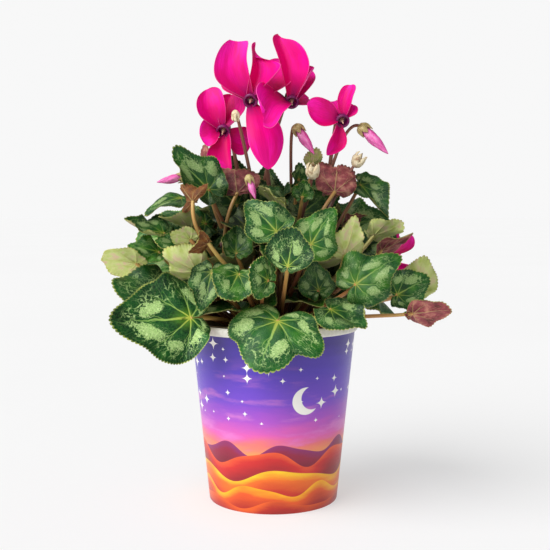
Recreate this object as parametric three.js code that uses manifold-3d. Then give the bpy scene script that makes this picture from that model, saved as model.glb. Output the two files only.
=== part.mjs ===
// Potted cyclamen in a printed card cup. Millimetres, +Z up, the viewer stands on -Y.
// The origin is the middle of the cup's flat base, on the surface it stands on.
import * as THREE from 'three';
import { mergeVertices } from 'three/addons/utils/BufferGeometryUtils.js';
import Module from 'manifold-3d';

const wasm = await Module();
wasm.setup();

// Driving dimensions
const CUP_BASE_RADIUS = 46.2;
const CUP_WALL_TOP_RADIUS = 58.7;
const CUP_WALL_HEIGHT = 122;
const CUP_HEIGHT = 128;
const CUP_ROLL_RADIUS = 60.6;
const CARD = 0.9;
const CUP_FLOOR = 1.6;
const CUP_SIDES = 40;
const SEAT_GAP = 0.3;
const POT_WALL = 0.9;
const POT_CLEARANCE = 0.6;
const POT_HEIGHT = 128.8;
const POT_SIDES = 30;
const SOIL_TOP = 113;
const TUBER_RADIUS = 30;
const TUBER_MIDDLE = 110;
const TUBER_RISE = 14;
const TUBER_DEPTH = 20;
const CROWN_RADIUS = 25.5;
const STALK_SOCKET = 3.5;
const SOCKET_GAP = 0.9;
const BLADE_THICKNESS = 0.8;
const PETAL_THICKNESS = 0.75;
const LEAF_STALK = [1.6, 1.25];
const FLOWER_STALK = [1.75, 1.35];
const BUD_STALK = [1.5, 1.1];
const RIM_REACH = 35;
const RIM_CLEARANCE = 5;
const RING_TURN = 0.19;
const RING_START = new THREE.Vector3(0.3, 1, 0.2);
const GOLDEN_ANGLE = Math.PI * (3 - Math.sqrt(5));

// Colours of the parts
const PRINT_VIOLET = 0x5c3ca8;
const POT_BROWN = 0x4a3524;
const PEAT = 0x2e2118;
const TUBER_BROWN = 0x5a4030;
const GREEN = 0x2f6a3c;
const PALE = 0x9fae62;
const PURPLE = 0x7d3f4c;
const PETAL_MAGENTA = 0xe0138a;
const BUD_PINK = 0xe58ab8;
const STALK_BROWN = 0x8a4a2c;
const HUSK_CREAM = 0xd6c39a;

// Leaves: number of the node, stalk end, tip, way the upper face looks, fold, curl across, curl along,
// wave, breadth, how far the tip is drawn out, how far the base is drawn in, colour.
// Leaves that share a number grow from one foot on the crown.
const LEAVES = [
  [1, [3, -68, 135], [-10, -88, 108], [0, -0.75, 0.66], 0.02, -0.25, -0.25, 0.05, 1.45, 0.35, 0, GREEN],
  [2, [-55, -56, 136], [-103, -74, 135], [-0.15, -0.93, 0.3], 0.03, -0.35, -0.2, 0.05, 0.88, 0.3, 0.3, GREEN],
  [3, [-66, -38, 152], [-104, -46, 169], [-0.3, -0.6, 0.7], 0.03, -0.3, -0.2, 0.06, 1.0, 0.35, 0.1, GREEN],
  [4, [-94, -26, 171], [-118, -33, 175], [-0.1, 0.5, 0.85], 0.05, 0.2, 0.3, 0.04, 0.9, 0.1, 0.2, PALE],
  [5, [-51, -54, 166], [-73, -63, 176], [0.2, 0.85, 0.45], 0.05, 0.3, 0.1, 0.04, 0.9, 0.2, 0.25, PALE],
  [5, [-65, -36, 180], [-80, -44, 185], [-0.3, -0.7, 0.65], 0.2, 0.2, 0, 0.05, 0.9, 0.4, 0.1, GREEN],
  [6, [-55, -52, 188], [-67, -58, 192], [0, 0.8, 0.5], 0.05, 0.4, 0.2, 0.04, 0.9, 0.1, 0.2, PALE],
  [7, [-79, -16, 187], [-104, -24, 192], [-0.3, -0.5, 0.8], 0.25, -0.2, -0.1, 0.08, 0.95, 0.5, 0.1, GREEN],
  [8, [-81, -30, 172], [-99, -38, 178], [-0.4, -0.65, 0.6], 0.1, -0.3, -0.2, 0.06, 0.9, 0.4, 0.1, GREEN],
  [9, [-66, -4, 216], [-91, -14, 212], [-0.2, -0.5, 0.85], 0.15, -0.3, -0.3, 0.09, 0.85, 0.5, 0.1, GREEN],
  [10, [-47, -24, 222], [-71, -20, 247], [0.1, -0.85, 0.5], 0.5, 0.1, -0.1, 0.05, 0.74, 0.75, 0.1, GREEN],
  [11, [-47, 6, 235], [-51, 8, 254], [0.5, 0.75, 0.4], 0.5, 0.5, 0, 0.05, 0.85, 0.4, 0.4, PURPLE],
  [12, [-25, -21, 221], [-28, -13, 240], [0, 0.8, 0.5], 0.15, 0.5, 0.2, 0.08, 1.3, 0.1, 0.6, PURPLE],
  [13, [-52, -36, 210], [-61, -30, 221], [-0.2, 0.75, 0.6], 0.3, 0.3, 0.1, 0.08, 1.05, 0.4, 0.5, PURPLE],
  [7, [-60, -22, 200], [-80, -34, 205], [-0.2, 0.1, 1], 0.4, 0.9, 0.2, 0.06, 0.8, 0.4, 0.2, PALE],
  [15, [-39, -64, 185], [-51, -68, 179], [-0.5, 0.4, 0.75], 0.3, 0.5, 0, 0.05, 0.95, 0.5, 0.5, PURPLE],
  [16, [-25, -48, 179], [-25, -40, 195], [0.1, -0.8, 0.5], 0.2, 0.6, 0.1, 0.05, 1.1, 0.3, 0.2, GREEN],
  [17, [2, -64, 193], [-17, -55, 214], [-0.1, -0.75, 0.65], 0.05, -0.35, -0.15, 0.06, 0.9, 0.5, 0.35, GREEN],
  [18, [25, -64, 187], [40, -54, 211], [0.1, -0.8, 0.55], 0.2, -0.1, -0.1, 0.06, 0.85, 0.7, 0.1, GREEN],
  [19, [9, -76, 170], [13, -70, 193], [0, -0.85, 0.5], 0.05, -0.35, -0.3, 0.06, 1.0, 0.1, 0.5, GREEN],
  [20, [-6, -70, 161], [-15, -82, 169], [-0.2, -0.85, 0.45], 0.05, -0.5, -0.4, 0.05, 1.3, 0.1, 0.2, GREEN],
  [21, [-21, -60, 163], [-29, -74, 146], [0.15, -0.85, 0.45], 0.2, 0.5, 0.3, 0.06, 1.05, 0.2, 0.2, GREEN],
  [22, [-40, -57, 172], [-45, -64, 147], [-0.1, -0.85, 0.5], 0.1, 0.3, 0, 0.05, 0.85, 0.5, 0.2, GREEN],
  [23, [30, -46, 154], [26, -50, 173], [-0.2, -0.9, 0.3], 0.1, 0.2, 0, 0.05, 1.0, 0.5, 0.2, GREEN],
  [24, [55, -58, 157], [81, -62, 177], [0.05, -0.85, 0.5], 0.1, -0.35, -0.2, 0.06, 0.95, 0.75, 0.1, GREEN],
  [25, [37, -64, 141], [57, -77, 130], [0.2, -0.55, 0.8], 0.05, -0.35, -0.3, 0.06, 1.0, 0.3, 0.1, GREEN],
  [26, [48, -44, 177], [56, -48, 201], [-0.3, 0.8, 0.5], 0.1, 0.3, 0.1, 0.04, 1.0, 0.6, 0.45, PALE],
  [27, [52, -8, 199], [65, -10, 205], [0, 0.6, 0.8], 0.2, 0.3, 0, 0.05, 0.85, 0.3, 0.3, PURPLE],
  [28, [63, 8, 226], [80, -6, 205], [0.3, -0.6, 0.75], 0.4, -0.3, -0.2, 0.05, 0.62, 0.7, 0.2, GREEN],
  [27, [70, -22, 190], [90, -26, 197], [0, 0.75, 0.65], 0.1, 0.4, 0.1, 0.05, 0.8, 0.2, 0.3, PALE],
  [29, [75, -26, 180], [95, -32, 190], [0, 0.6, 0.8], 0.3, 0.5, 0.1, 0.06, 0.75, 0.75, 0.5, PURPLE],
  [30, [100, -16, 150], [104, -20, 174], [0.3, 0.8, 0.3], 0.1, 0.4, 0, 0.05, 0.9, 0.3, 0.3, PALE],
  [30, [86, -30, 150], [108, -26, 162], [0.2, -0.8, 0.5], 0.1, 0.1, 0, 0.05, 0.9, 0.3, 0.1, GREEN],
  [31, [94, -46, 138], [119, -52, 142], [0.1, 0.7, 0.65], 0.1, 0.3, 0, 0.05, 0.95, 0.85, 0.35, PURPLE],
  [32, [43, -14, 220], [46, -4, 243], [0.15, 0.9, 0.35], 0.15, 0.4, 0.1, 0.05, 1.0, 0.1, 0.6, PURPLE],
  [33, [18, -6, 230], [19, -8, 241], [0.2, -0.8, 0.5], 0.4, 0.7, 0, 0.04, 0.9, 0.2, 0.1, GREEN],
  [33, [28, 2, 241], [32, 0, 252], [0.1, 0.8, 0.5], 0.4, 0.7, 0, 0.04, 0.9, 0.2, 0.1, GREEN],
  [34, [20, -30, 217], [22, -34, 228], [0, -0.85, 0.5], 0.1, -0.3, 0, 0.05, 0.95, 0.2, 0.1, GREEN],
  [34, [4, -26, 212], [-8, -28, 224], [0.3, -0.3, 0.9], 0.4, 0.7, 0, 0.06, 0.95, 0.2, 0.2, PALE],
];

// Leaves on the far side stand in three rings: count, first and last bearing, reach and height of
// the stalk end, reach and height of the tip. Leaves beside each other share one of five nodes.
const BACK_NODES = 5;
const BACK_POINT = 0.45;
const BACK_NARROW = 0.1;
const BACK_RINGS = [
  { count: 6, from: 16, to: 164, foot: [62, 153], tip: [96, 132], face: 0.8 },
  { count: 5, from: 36, to: 144, foot: [56, 187], tip: [90, 171], face: 0.7 },
  { count: 3, from: 48, to: 132, foot: [42, 214], tip: [72, 206], face: 0.6 },
];

// Flowers: node, mouth, way the mouth looks, petals as tip, way the inner face looks, width, cup, bow, twist
const FLOWERS = [
  ['flower_1', [-16, -15, 283], [-0.1, -0.85, -0.4], [
    [[-32, -14, 322], [0.2, -0.95, 0.1], 27, 0.5, 0.06, 0.3],
    [[-8, -3, 319], [-0.3, -0.9, 0.1], 20, 0.9, 0.1, -0.4],
    [[7, 15, 314], [0, -0.9, 0.3], 23, 0.3, 0.05, 0.2],
    [[-5, -34, 235], [0.1, -0.95, -0.2], 26, -0.5, 0.12, 0.2],
    [[-34, 17, 307], [0.1, -0.9, 0.4], 18, 0.4, 0.05, 0.2],
  ]],
  ['flower_2', [-36, 0, 263], [-0.1, -0.8, -0.55], [
    [[-49, 3, 293], [0.3, -0.95, 0], 25, 0.5, 0.08, 0.2],
    [[-30, 12, 292], [0.1, -0.95, 0.1], 22, 0.3, 0.05, 0.2],
    [[-26, -8, 239], [-0.2, -0.95, 0], 19, 0.8, 0.08, -0.3],
    [[-54, -4, 262], [0.1, -0.9, 0.35], 17, 0.4, 0.08, 0.2],
    [[-14, 12, 256], [-0.3, -0.9, 0.1], 18, 0.4, 0.05, 0.2],
  ]],
  ['flower_3', [13, -7, 283], [0.05, -0.8, -0.55], [
    [[8, -4, 331], [0.2, -0.95, 0.1], 26, 0.5, 0.06, 0.3],
    [[27, 8, 308], [-0.1, -0.98, 0.1], 17, 0.4, 0.06, -0.2],
    [[31, -8, 306], [-0.7, -0.6, 0.1], 18, 0.7, 0.06, 0.1],
    [[-9, -38, 271], [0.1, -0.9, 0.35], 21, 0.4, 0.06, 0.1],
    [[34, 16, 288], [-0.2, -0.9, 0.3], 20, 0.4, 0.05, 0.2],
  ]],
  ['flower_4', [49, -5, 270], [0.1, -0.85, -0.5], [
    [[24, -12, 279], [0.1, -0.9, 0.35], 20, 0.4, 0.06, 0.1],
    [[56, -4, 297], [-0.3, -0.9, 0.1], 17, 0.6, 0.06, 0.2],
    [[37, -10, 248], [0.2, -0.95, 0], 16, 0.8, 0.06, 0.1],
    [[61, 0, 288], [-0.3, -0.9, 0.1], 12, 0.5, 0.06, 0.1],
    [[42, 14, 294], [0.1, -0.9, 0.2], 17, 0.4, 0.06, 0.1],
  ]],
  ['flower_5', [88, 12, 172], [0.9, -0.2, -0.35], [
    [[103, 0, 164], [0.3, -0.6, -0.7], 15, 0.5, 0.06, 0.1],
    [[98, -2, 190], [0.6, -0.7, 0.3], 15, 0.5, 0.06, 0.1],
    [[90, 26, 194], [0.8, 0.3, 0.4], 15, 0.5, 0.06, 0.1],
    [[94, 36, 168], [0.8, 0.4, -0.2], 15, 0.5, 0.06, 0.1],
    [[90, 14, 146], [0.9, -0.1, -0.3], 15, 0.5, 0.06, 0.1],
  ]],
];

// Buds: node, place of the husk, way the bud points, length, radius, length of the hook above it
const BUDS = [
  ['bud_1', [65, 2, 265], [0.66, -0.2, -0.7], 25, 4.2, 26],
  ['bud_2', [18, -4, 264], [0.5, -0.25, -0.8], 21, 3.8, 22],
  ['bud_3', [-66, 2, 231], [-0.96, -0.2, -0.2], 18, 3.2, 18],
  ['bud_4', [-16, -33, 227], [0.3, -0.15, -0.94], 13, 2.6, 10],
];

// Spent flowers keep their husk on the stalk: place, way it points, radius
const SPENT = [
  [[27, -22, 232], [0.1, -0.3, 0.95], 4.2],
  [[59, -2, 241], [0.6, -0.2, 0.75], 4.2],
  [[-26, -24, 273], [0.1, -0.4, -0.9], 3.6],
];

// Small vector helpers
const vec = (a) => new THREE.Vector3(a[0], a[1], a[2]);

function mulberry(seed) {
  let state = seed;
  return () => {
    state = (state + 0x6d2b79f5) | 0;
    let mixed = Math.imul(state ^ (state >>> 15), 1 | state);
    mixed = (mixed + Math.imul(mixed ^ (mixed >>> 7), 61 | mixed)) ^ mixed;
    return ((mixed ^ (mixed >>> 14)) >>> 0) / 4294967296;
  };
}

// A right-handed frame: y runs to the tip, z to the upper face
function frameOf(from, to, face) {
  const y = to.clone().sub(from).normalize();
  const z = face.clone().addScaledVector(y, -face.dot(y)).normalize();
  const x = y.clone().cross(z).normalize();
  return { x, y, z };
}

function placeInFrame(origin, frame, p) {
  return origin.clone()
    .addScaledVector(frame.x, p[0])
    .addScaledVector(frame.y, p[1])
    .addScaledVector(frame.z, p[2]);
}

// A closed thin solid from matching points of its two faces and the triangles of the upper one
function slab(upper, lower, faces) {
  const count = upper.length;
  const index = [];
  const edges = new Set();
  for (const [a, b, c] of faces) {
    index.push(a, b, c);
    index.push(a + count, c + count, b + count);
    edges.add(`${a} ${b}`);
    edges.add(`${b} ${c}`);
    edges.add(`${c} ${a}`);
  }
  for (const edge of edges) {
    const [a, b] = edge.split(' ').map(Number);
    if (edges.has(`${b} ${a}`)) continue;
    index.push(a, a + count, b + count);
    index.push(a, b + count, b);
  }
  return solidFrom([...upper, ...lower], index);
}

function solidFrom(points, index) {
  const flat = new Float32Array(points.length * 3);
  points.forEach((p, i) => flat.set([p.x, p.y, p.z], i * 3));
  const mesh = new wasm.Mesh({
    numProp: 3,
    vertProperties: flat,
    triVerts: new Uint32Array(index),
  });
  return new wasm.Manifold(mesh);
}

function solidFromGeometry(geometry) {
  const bare = geometry.index ? geometry.toNonIndexed() : geometry.clone();
  bare.deleteAttribute('normal');
  bare.deleteAttribute('uv');
  const merged = mergeVertices(bare, 1e-4);
  const mesh = new wasm.Mesh({
    numProp: 3,
    vertProperties: new Float32Array(merged.attributes.position.array),
    triVerts: new Uint32Array(merged.index.array),
  });
  return new wasm.Manifold(mesh);
}

// Keeps the largest body, so that no loose scrap stays
function largest(solid) {
  const pieces = solid.decompose();
  pieces.sort((a, b) => b.volume() - a.volume());
  return pieces[0];
}

const group = new THREE.Group();
group.name = 'potted_cyclamen';

function addMesh(name, solid, colour, roughness) {
  const data = solid.getMesh();
  const geometry = new THREE.BufferGeometry();
  geometry.setAttribute('position', new THREE.BufferAttribute(new Float32Array(data.vertProperties), 3));
  geometry.setIndex(new THREE.BufferAttribute(new Uint32Array(data.triVerts), 1));
  geometry.computeVertexNormals();
  const material = new THREE.MeshStandardMaterial({ color: colour, roughness, metalness: 0 });
  const mesh = new THREE.Mesh(geometry, material);
  mesh.name = name;
  group.add(mesh);
}

// Outline of a leaf: distance from the stalk to the margin for a bearing from the tip,
// as a share of the length. It narrows to an open notch behind the stalk.
const NOTCH = 0.13;
function outline(bearing) {
  const away = Math.abs(bearing);
  const tip = 0.11 * Math.exp(-((away / 0.4) ** 2));
  const body = 0.62 + 0.27 * Math.cos(bearing);
  const lobe = 0.06 * Math.exp(-(((away - 2.5) / 0.4) ** 2));
  const notch = 1 - 0.5 * Math.exp(-(((Math.PI - away) / 0.3) ** 2));
  return (body + tip + lobe) * notch;
}

// The margin of one leaf: a drawn-out tip takes away its shoulders, a drawn-in base its lobes
const SHOULDER = { loss: 0.24, bearing: 0.55, span: 0.35 };
const BASE = { from: 1.2, to: 2.3 };
function marginReach(leaf, bearing) {
  const away = Math.abs(bearing);
  const shoulder = Math.exp(-(((away - SHOULDER.bearing) / SHOULDER.span) ** 2));
  const behind = THREE.MathUtils.smoothstep(away, BASE.from, BASE.to);
  return outline(bearing) * (1 - SHOULDER.loss * leaf.point * shoulder) * (1 - leaf.narrow * behind);
}

// One point of a leaf: fold along the midrib, waves at the margin, then a roll across and a roll along
function bladePoint(leaf, bearing, share, lift, edge = outline(bearing)) {
  const reach = leaf.size * edge * share;
  const soft = 0.12 * leaf.size;
  let x = leaf.broad * reach * Math.sin(bearing);
  let y = reach * Math.cos(bearing);
  let z = leaf.fold * (Math.sqrt(x * x + soft * soft) - soft) + lift;
  const swing = leaf.wave * leaf.size * share * share * (edge / outline(bearing)) ** 2;
  z += swing * Math.cos(leaf.waves * bearing + leaf.phase);
  const across = leaf.across / leaf.size;
  if (Math.abs(across) > 1e-6) {
    const arm = 1 / across - z;
    z = 1 / across - arm * Math.cos(across * x);
    x = arm * Math.sin(across * x);
  }
  const along = leaf.along / leaf.size;
  if (Math.abs(along) > 1e-6) {
    const arm = 1 / along - z;
    z = 1 / along - arm * Math.cos(along * y);
    y = arm * Math.sin(along * y);
  }
  return [x, y, z];
}

// The margin has short teeth. The inner ring has half as many points as the margin.
const TOOTH = 0.03;
const INNER_SHARE = 0.52;
function bladeSolid(leaf, thickness = BLADE_THICKNESS) {
  let halves = 6;
  if (leaf.size > 24) halves = 7;
  if (leaf.size > 30) halves = 8;
  if (leaf.size > 38) halves = 10;
  const steps = 2 * halves;
  const upper = [];
  const lower = [];
  const put = (bearing, share) => {
    const p = bladePoint(leaf, bearing, share, thickness / 2, marginReach(leaf, bearing));
    const q = bladePoint(leaf, bearing, share, -thickness / 2, marginReach(leaf, bearing));
    upper.push(placeInFrame(leaf.foot, leaf.frame, p));
    lower.push(placeInFrame(leaf.foot, leaf.frame, q));
  };
  put(0, 0);
  for (let i = 0; i <= halves; i += 1) put((Math.PI - NOTCH) * (2 * i / halves - 1), INNER_SHARE);
  for (let i = 0; i <= steps; i += 1) {
    put((Math.PI - NOTCH) * (2 * i / steps - 1), 1 + TOOTH * (i % 2 ? 1 : -1));
  }
  const faces = [];
  const margin = 2 + halves;
  for (let i = 0; i < halves; i += 1) {
    const a = 1 + i;
    const m = margin + 2 * i;
    faces.push([0, a + 1, a]);
    faces.push([a, m + 1, m]);
    faces.push([a, a + 1, m + 1]);
    faces.push([a + 1, m + 2, m + 1]);
  }
  return slab(upper, lower, faces);
}

// A stalk is a tapered tube along a curve with four control points
function curvePoint(points, t) {
  const s = 1 - t;
  const weights = [s * s * s, 3 * s * s * t, 3 * s * t * t, t * t * t];
  const out = new THREE.Vector3();
  points.forEach((p, i) => out.addScaledVector(p, weights[i]));
  return out;
}

function curveSlope(points, t) {
  const before = curvePoint(points, Math.max(0, t - 0.01));
  const after = curvePoint(points, Math.min(1, t + 0.01));
  return after.sub(before).normalize();
}

// Each ring is the one before it, hinged over without a twist. The last one may lie in the plane
// of what the stalk carries.
function tubeSolid(points, radii, steps, sides, grow = 0, plane = null) {
  const ring = [];
  let slope = curveSlope(points, 0);
  const sideways = slope.clone().cross(RING_START).normalize();
  for (let i = 0; i <= steps; i += 1) {
    const t = i / steps;
    const centre = curvePoint(points, t);
    const heading = curveSlope(points, t);
    if (plane && i === steps) {
      const reach = centre.clone().sub(curvePoint(points, t - 1 / steps));
      heading.copy(plane).multiplyScalar(reach.dot(plane) < 0 ? -1 : 1);
    }
    sideways.applyQuaternion(new THREE.Quaternion().setFromUnitVectors(slope, heading));
    slope = heading;
    const up = slope.clone().cross(sideways);
    const radius = radii[0] + (radii[1] - radii[0]) * t + grow;
    for (let j = 0; j < sides; j += 1) {
      const turn = 2 * Math.PI * j / sides + RING_TURN;
      ring.push(centre.clone()
        .addScaledVector(sideways, radius * Math.cos(turn))
        .addScaledVector(up, radius * Math.sin(turn)));
    }
  }
  const index = [];
  for (let i = 0; i < steps; i += 1) {
    for (let j = 0; j < sides; j += 1) {
      const a = i * sides + j;
      const b = i * sides + (j + 1) % sides;
      index.push(a, b, b + sides);
      index.push(a, b + sides, a + sides);
    }
  }
  const first = ring.length;
  ring.push(curvePoint(points, 0), curvePoint(points, 1));
  for (let j = 0; j < sides; j += 1) {
    const next = (j + 1) % sides;
    index.push(first, next, j);
    index.push(first + 1, steps * sides + j, steps * sides + next);
  }
  return solidFrom(ring, index);
}

// Gather every leaf, with the rings of the far side
const draw = mulberry(20);
const leaves = LEAVES.map((row, number) => ({
  node: `leaf_${String(row[0]).padStart(2, '0')}`,
  foot: vec(row[1]),
  tip: vec(row[2]),
  face: vec(row[3]),
  fold: row[4],
  across: row[5],
  along: row[6],
  wave: row[7],
  broad: row[8],
  point: row[9],
  narrow: row[10],
  colour: row[11],
  waves: 3 + number % 3,
  phase: number * 1.7,
}));
let backNumber = 0;
for (const ring of BACK_RINGS) {
  for (let i = 0; i < ring.count; i += 1) {
    const spread = (ring.to - ring.from) / (ring.count - 1);
    const bearing = THREE.MathUtils.degToRad(ring.from + spread * i + 6 * (draw() - 0.5));
    const rise = 8 * (draw() - 0.5);
    const side = new THREE.Vector3(Math.cos(bearing), Math.sin(bearing), 0);
    const foot = side.clone().multiplyScalar(ring.foot[0]).setZ(ring.foot[1] + rise);
    const turned = bearing + 0.35 * (draw() - 0.5);
    const tip = new THREE.Vector3(Math.cos(turned), Math.sin(turned), 0)
      .multiplyScalar(ring.tip[0]).setZ(ring.tip[1] + rise + 8 * (draw() - 0.5));
    const face = side.clone().multiplyScalar(ring.face).setZ(1);
    leaves.push({
      node: '',
      bearing,
      foot,
      tip,
      face,
      fold: 0.05 + 0.15 * draw(),
      across: -0.5 + 0.5 * draw(),
      along: -0.5 + 0.4 * draw(),
      wave: 0.04 + 0.04 * draw(),
      broad: 1 + 0.15 * draw(),
      point: BACK_POINT,
      narrow: BACK_NARROW,
      colour: GREEN,
      waves: 3 + backNumber % 3,
      phase: backNumber * 2.1,
    });
    backNumber += 1;
  }
}
const farSide = leaves.slice(-backNumber).sort((a, b) => a.bearing - b.bearing);
farSide.forEach((leaf, i) => {
  leaf.node = `leaf_back_${1 + Math.floor(BACK_NODES * i / backNumber)}`;
});
for (const leaf of leaves) {
  leaf.size = leaf.tip.distanceTo(leaf.foot);
  leaf.frame = frameOf(leaf.foot, leaf.tip, leaf.face);
}

// Leaves that would cross are slid apart, the outer one outwards and the inner one inwards,
// until their faces lie a small step apart.
const SETTLE_ROUNDS = 25;
const SETTLE_NEAR = 6;
const SETTLE_STEP = 2.4;
const SETTLE_LIMIT = 7;
const HEART = new THREE.Vector3(0, 0, 135);
const ANCHORED = ['leaf_01', 'leaf_02'];
function bladeSamples(leaf) {
  const out = [placeInFrame(leaf.foot, leaf.frame, bladePoint(leaf, 0, 0, 0))];
  for (const share of [0.35, 0.68, 1]) {
    for (let i = 0; i < 14; i += 1) {
      const bearing = (Math.PI - NOTCH) * (2 * i / 13 - 1);
      out.push(placeInFrame(leaf.foot, leaf.frame, bladePoint(leaf, bearing, share, 0)));
    }
  }
  return out;
}

function settleLeaves() {
  for (const leaf of leaves) {
    leaf.samples = bladeSamples(leaf);
    leaf.middle = new THREE.Vector3();
    leaf.samples.forEach((p) => leaf.middle.addScaledVector(p, 1 / leaf.samples.length));
    leaf.outward = leaf.frame.z.clone();
    if (leaf.outward.dot(leaf.middle.clone().sub(HEART)) < 0) leaf.outward.negate();
    leaf.shift = new THREE.Vector3();
    leaf.held = ANCHORED.includes(leaf.node);
  }
  const pairs = [];
  for (let i = 0; i < leaves.length; i += 1) {
    for (let j = i + 1; j < leaves.length; j += 1) {
      const a = leaves[i];
      const b = leaves[j];
      if (a.middle.distanceTo(b.middle) > a.size + b.size + 12) continue;
      const along = a.outward.clone().add(b.outward).normalize();
      const order = Math.sign(a.middle.clone().sub(b.middle).dot(along)) || 1;
      pairs.push([a, b, along.multiplyScalar(order)]);
    }
  }
  for (let round = 0; round < SETTLE_ROUNDS; round += 1) {
    for (const [a, b, along] of pairs) {
      const between = a.shift.clone().sub(b.shift);
      let worst = 0;
      for (const p of a.samples) {
        for (const q of b.samples) {
          const dx = p.x - q.x + between.x;
          const dy = p.y - q.y + between.y;
          const dz = p.z - q.z + between.z;
          if (dx * dx + dy * dy + dz * dz > SETTLE_NEAR * SETTLE_NEAR) continue;
          const apart = dx * along.x + dy * along.y + dz * along.z;
          worst = Math.max(worst, SETTLE_STEP - apart);
        }
      }
      if (!a.held) a.shift.addScaledVector(along, worst * 0.2);
      if (!b.held) b.shift.addScaledVector(along, -worst * 0.2);
    }
    for (const leaf of leaves) leaf.shift.multiplyScalar(0.97).clampLength(0, SETTLE_LIMIT);
  }
  for (const leaf of leaves) {
    leaf.foot.add(leaf.shift);
    leaf.tip.add(leaf.shift);
    leaf.samples.forEach((p) => p.add(leaf.shift));
  }
}
settleLeaves();

// Stalks: one foot on the crown for each node, outer feet for the stalks that lean furthest
const stalks = [];
for (const leaf of leaves) {
  const seen = stalks.find((stalk) => stalk.node === leaf.node);
  if (seen) {
    seen.heads.push(leaf);
    continue;
  }
  stalks.push({ node: leaf.node, heading: leaf.foot.clone(), heads: [leaf], radii: LEAF_STALK });
}
for (const [node, mouth, axis] of FLOWERS) {
  const aim = vec(axis).normalize();
  stalks.push({ node, heading: vec(mouth), axis: aim, heads: [], radii: FLOWER_STALK, back: -13, hook: 18 });
}
for (const [node, place, axis, , , hook] of BUDS) {
  const aim = vec(axis).normalize();
  stalks.push({ node, heading: vec(place), axis: aim, heads: [], radii: BUD_STALK, back: -1, hook });
}
SPENT.forEach(([place, axis], i) => {
  const node = `spent_${i + 1}`;
  const aim = vec(axis).normalize();
  stalks.push({ node, heading: vec(place), axis: aim, heads: [], radii: BUD_STALK, back: -1, hook: 14 });
});

function crownHeight(x, y) {
  const share = (x * x + y * y) / (TUBER_RADIUS * TUBER_RADIUS);
  return TUBER_MIDDLE + TUBER_RISE * Math.sqrt(Math.max(0, 1 - share));
}

function plantStalks() {
  const lean = (stalk) => Math.hypot(stalk.heading.x, stalk.heading.y) / (stalk.heading.z - SOIL_TOP);
  const order = [...stalks].sort((a, b) => lean(b) - lean(a));
  const free = [];
  for (let k = 0; k < stalks.length; k += 1) {
    const radius = CROWN_RADIUS * Math.sqrt((k + 0.5) / stalks.length);
    free.push(new THREE.Vector2(radius * Math.cos(k * GOLDEN_ANGLE), radius * Math.sin(k * GOLDEN_ANGLE)));
  }
  order.forEach((stalk, place) => {
    const rank = stalks.length - place - 0.5;
    const radius = CROWN_RADIUS * Math.sqrt(rank / stalks.length);
    const bearing = Math.atan2(stalk.heading.y, stalk.heading.x);
    const want = new THREE.Vector2(radius * Math.cos(bearing), radius * Math.sin(bearing));
    free.sort((a, b) => a.distanceTo(want) - b.distanceTo(want));
    const spot = free.shift();
    stalk.root = new THREE.Vector3(spot.x, spot.y, crownHeight(spot.x, spot.y));
  });
}
plantStalks();

// The way a stalk leaves the crown leans out with its foot
function startSlope(root, head) {
  const lean = new THREE.Vector3(root.x, root.y, 0).divideScalar(TUBER_RADIUS);
  const toHead = head.clone().sub(root).normalize();
  return lean.multiplyScalar(0.55)
    .add(new THREE.Vector3(0, 0, 0.75))
    .addScaledVector(toHead, 0.5)
    .normalize();
}

function leafCurve(stalk, leaf) {
  const start = startSlope(stalk.root, leaf.foot);
  const root = stalk.root.clone().addScaledVector(start, -STALK_SOCKET);
  const length = leaf.foot.distanceTo(root);
  const heading = leaf.foot.clone().sub(root).normalize();
  const rise = heading.dot(leaf.frame.z);
  const arrive = heading.clone().addScaledVector(leaf.frame.z, Math.max(0.2, 0.35 - rise)).normalize();
  const first = root.clone().addScaledVector(start, length * 0.38);
  const second = leaf.foot.clone().addScaledVector(arrive, -length * 0.32);
  if (Math.hypot(second.x, second.y) > RIM_REACH) second.z = Math.max(second.z, POT_HEIGHT + RIM_CLEARANCE);
  return [root, first, second, leaf.foot.clone()];
}

function headCurve(stalk, head, hook) {
  const start = startSlope(stalk.root, head);
  const root = stalk.root.clone().addScaledVector(start, -STALK_SOCKET);
  const length = head.distanceTo(root);
  const first = root.clone().addScaledVector(start, length * 0.5);
  const second = head.clone().addScaledVector(stalk.axis, -hook);
  return [root, first, second, head.clone()];
}

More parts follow.
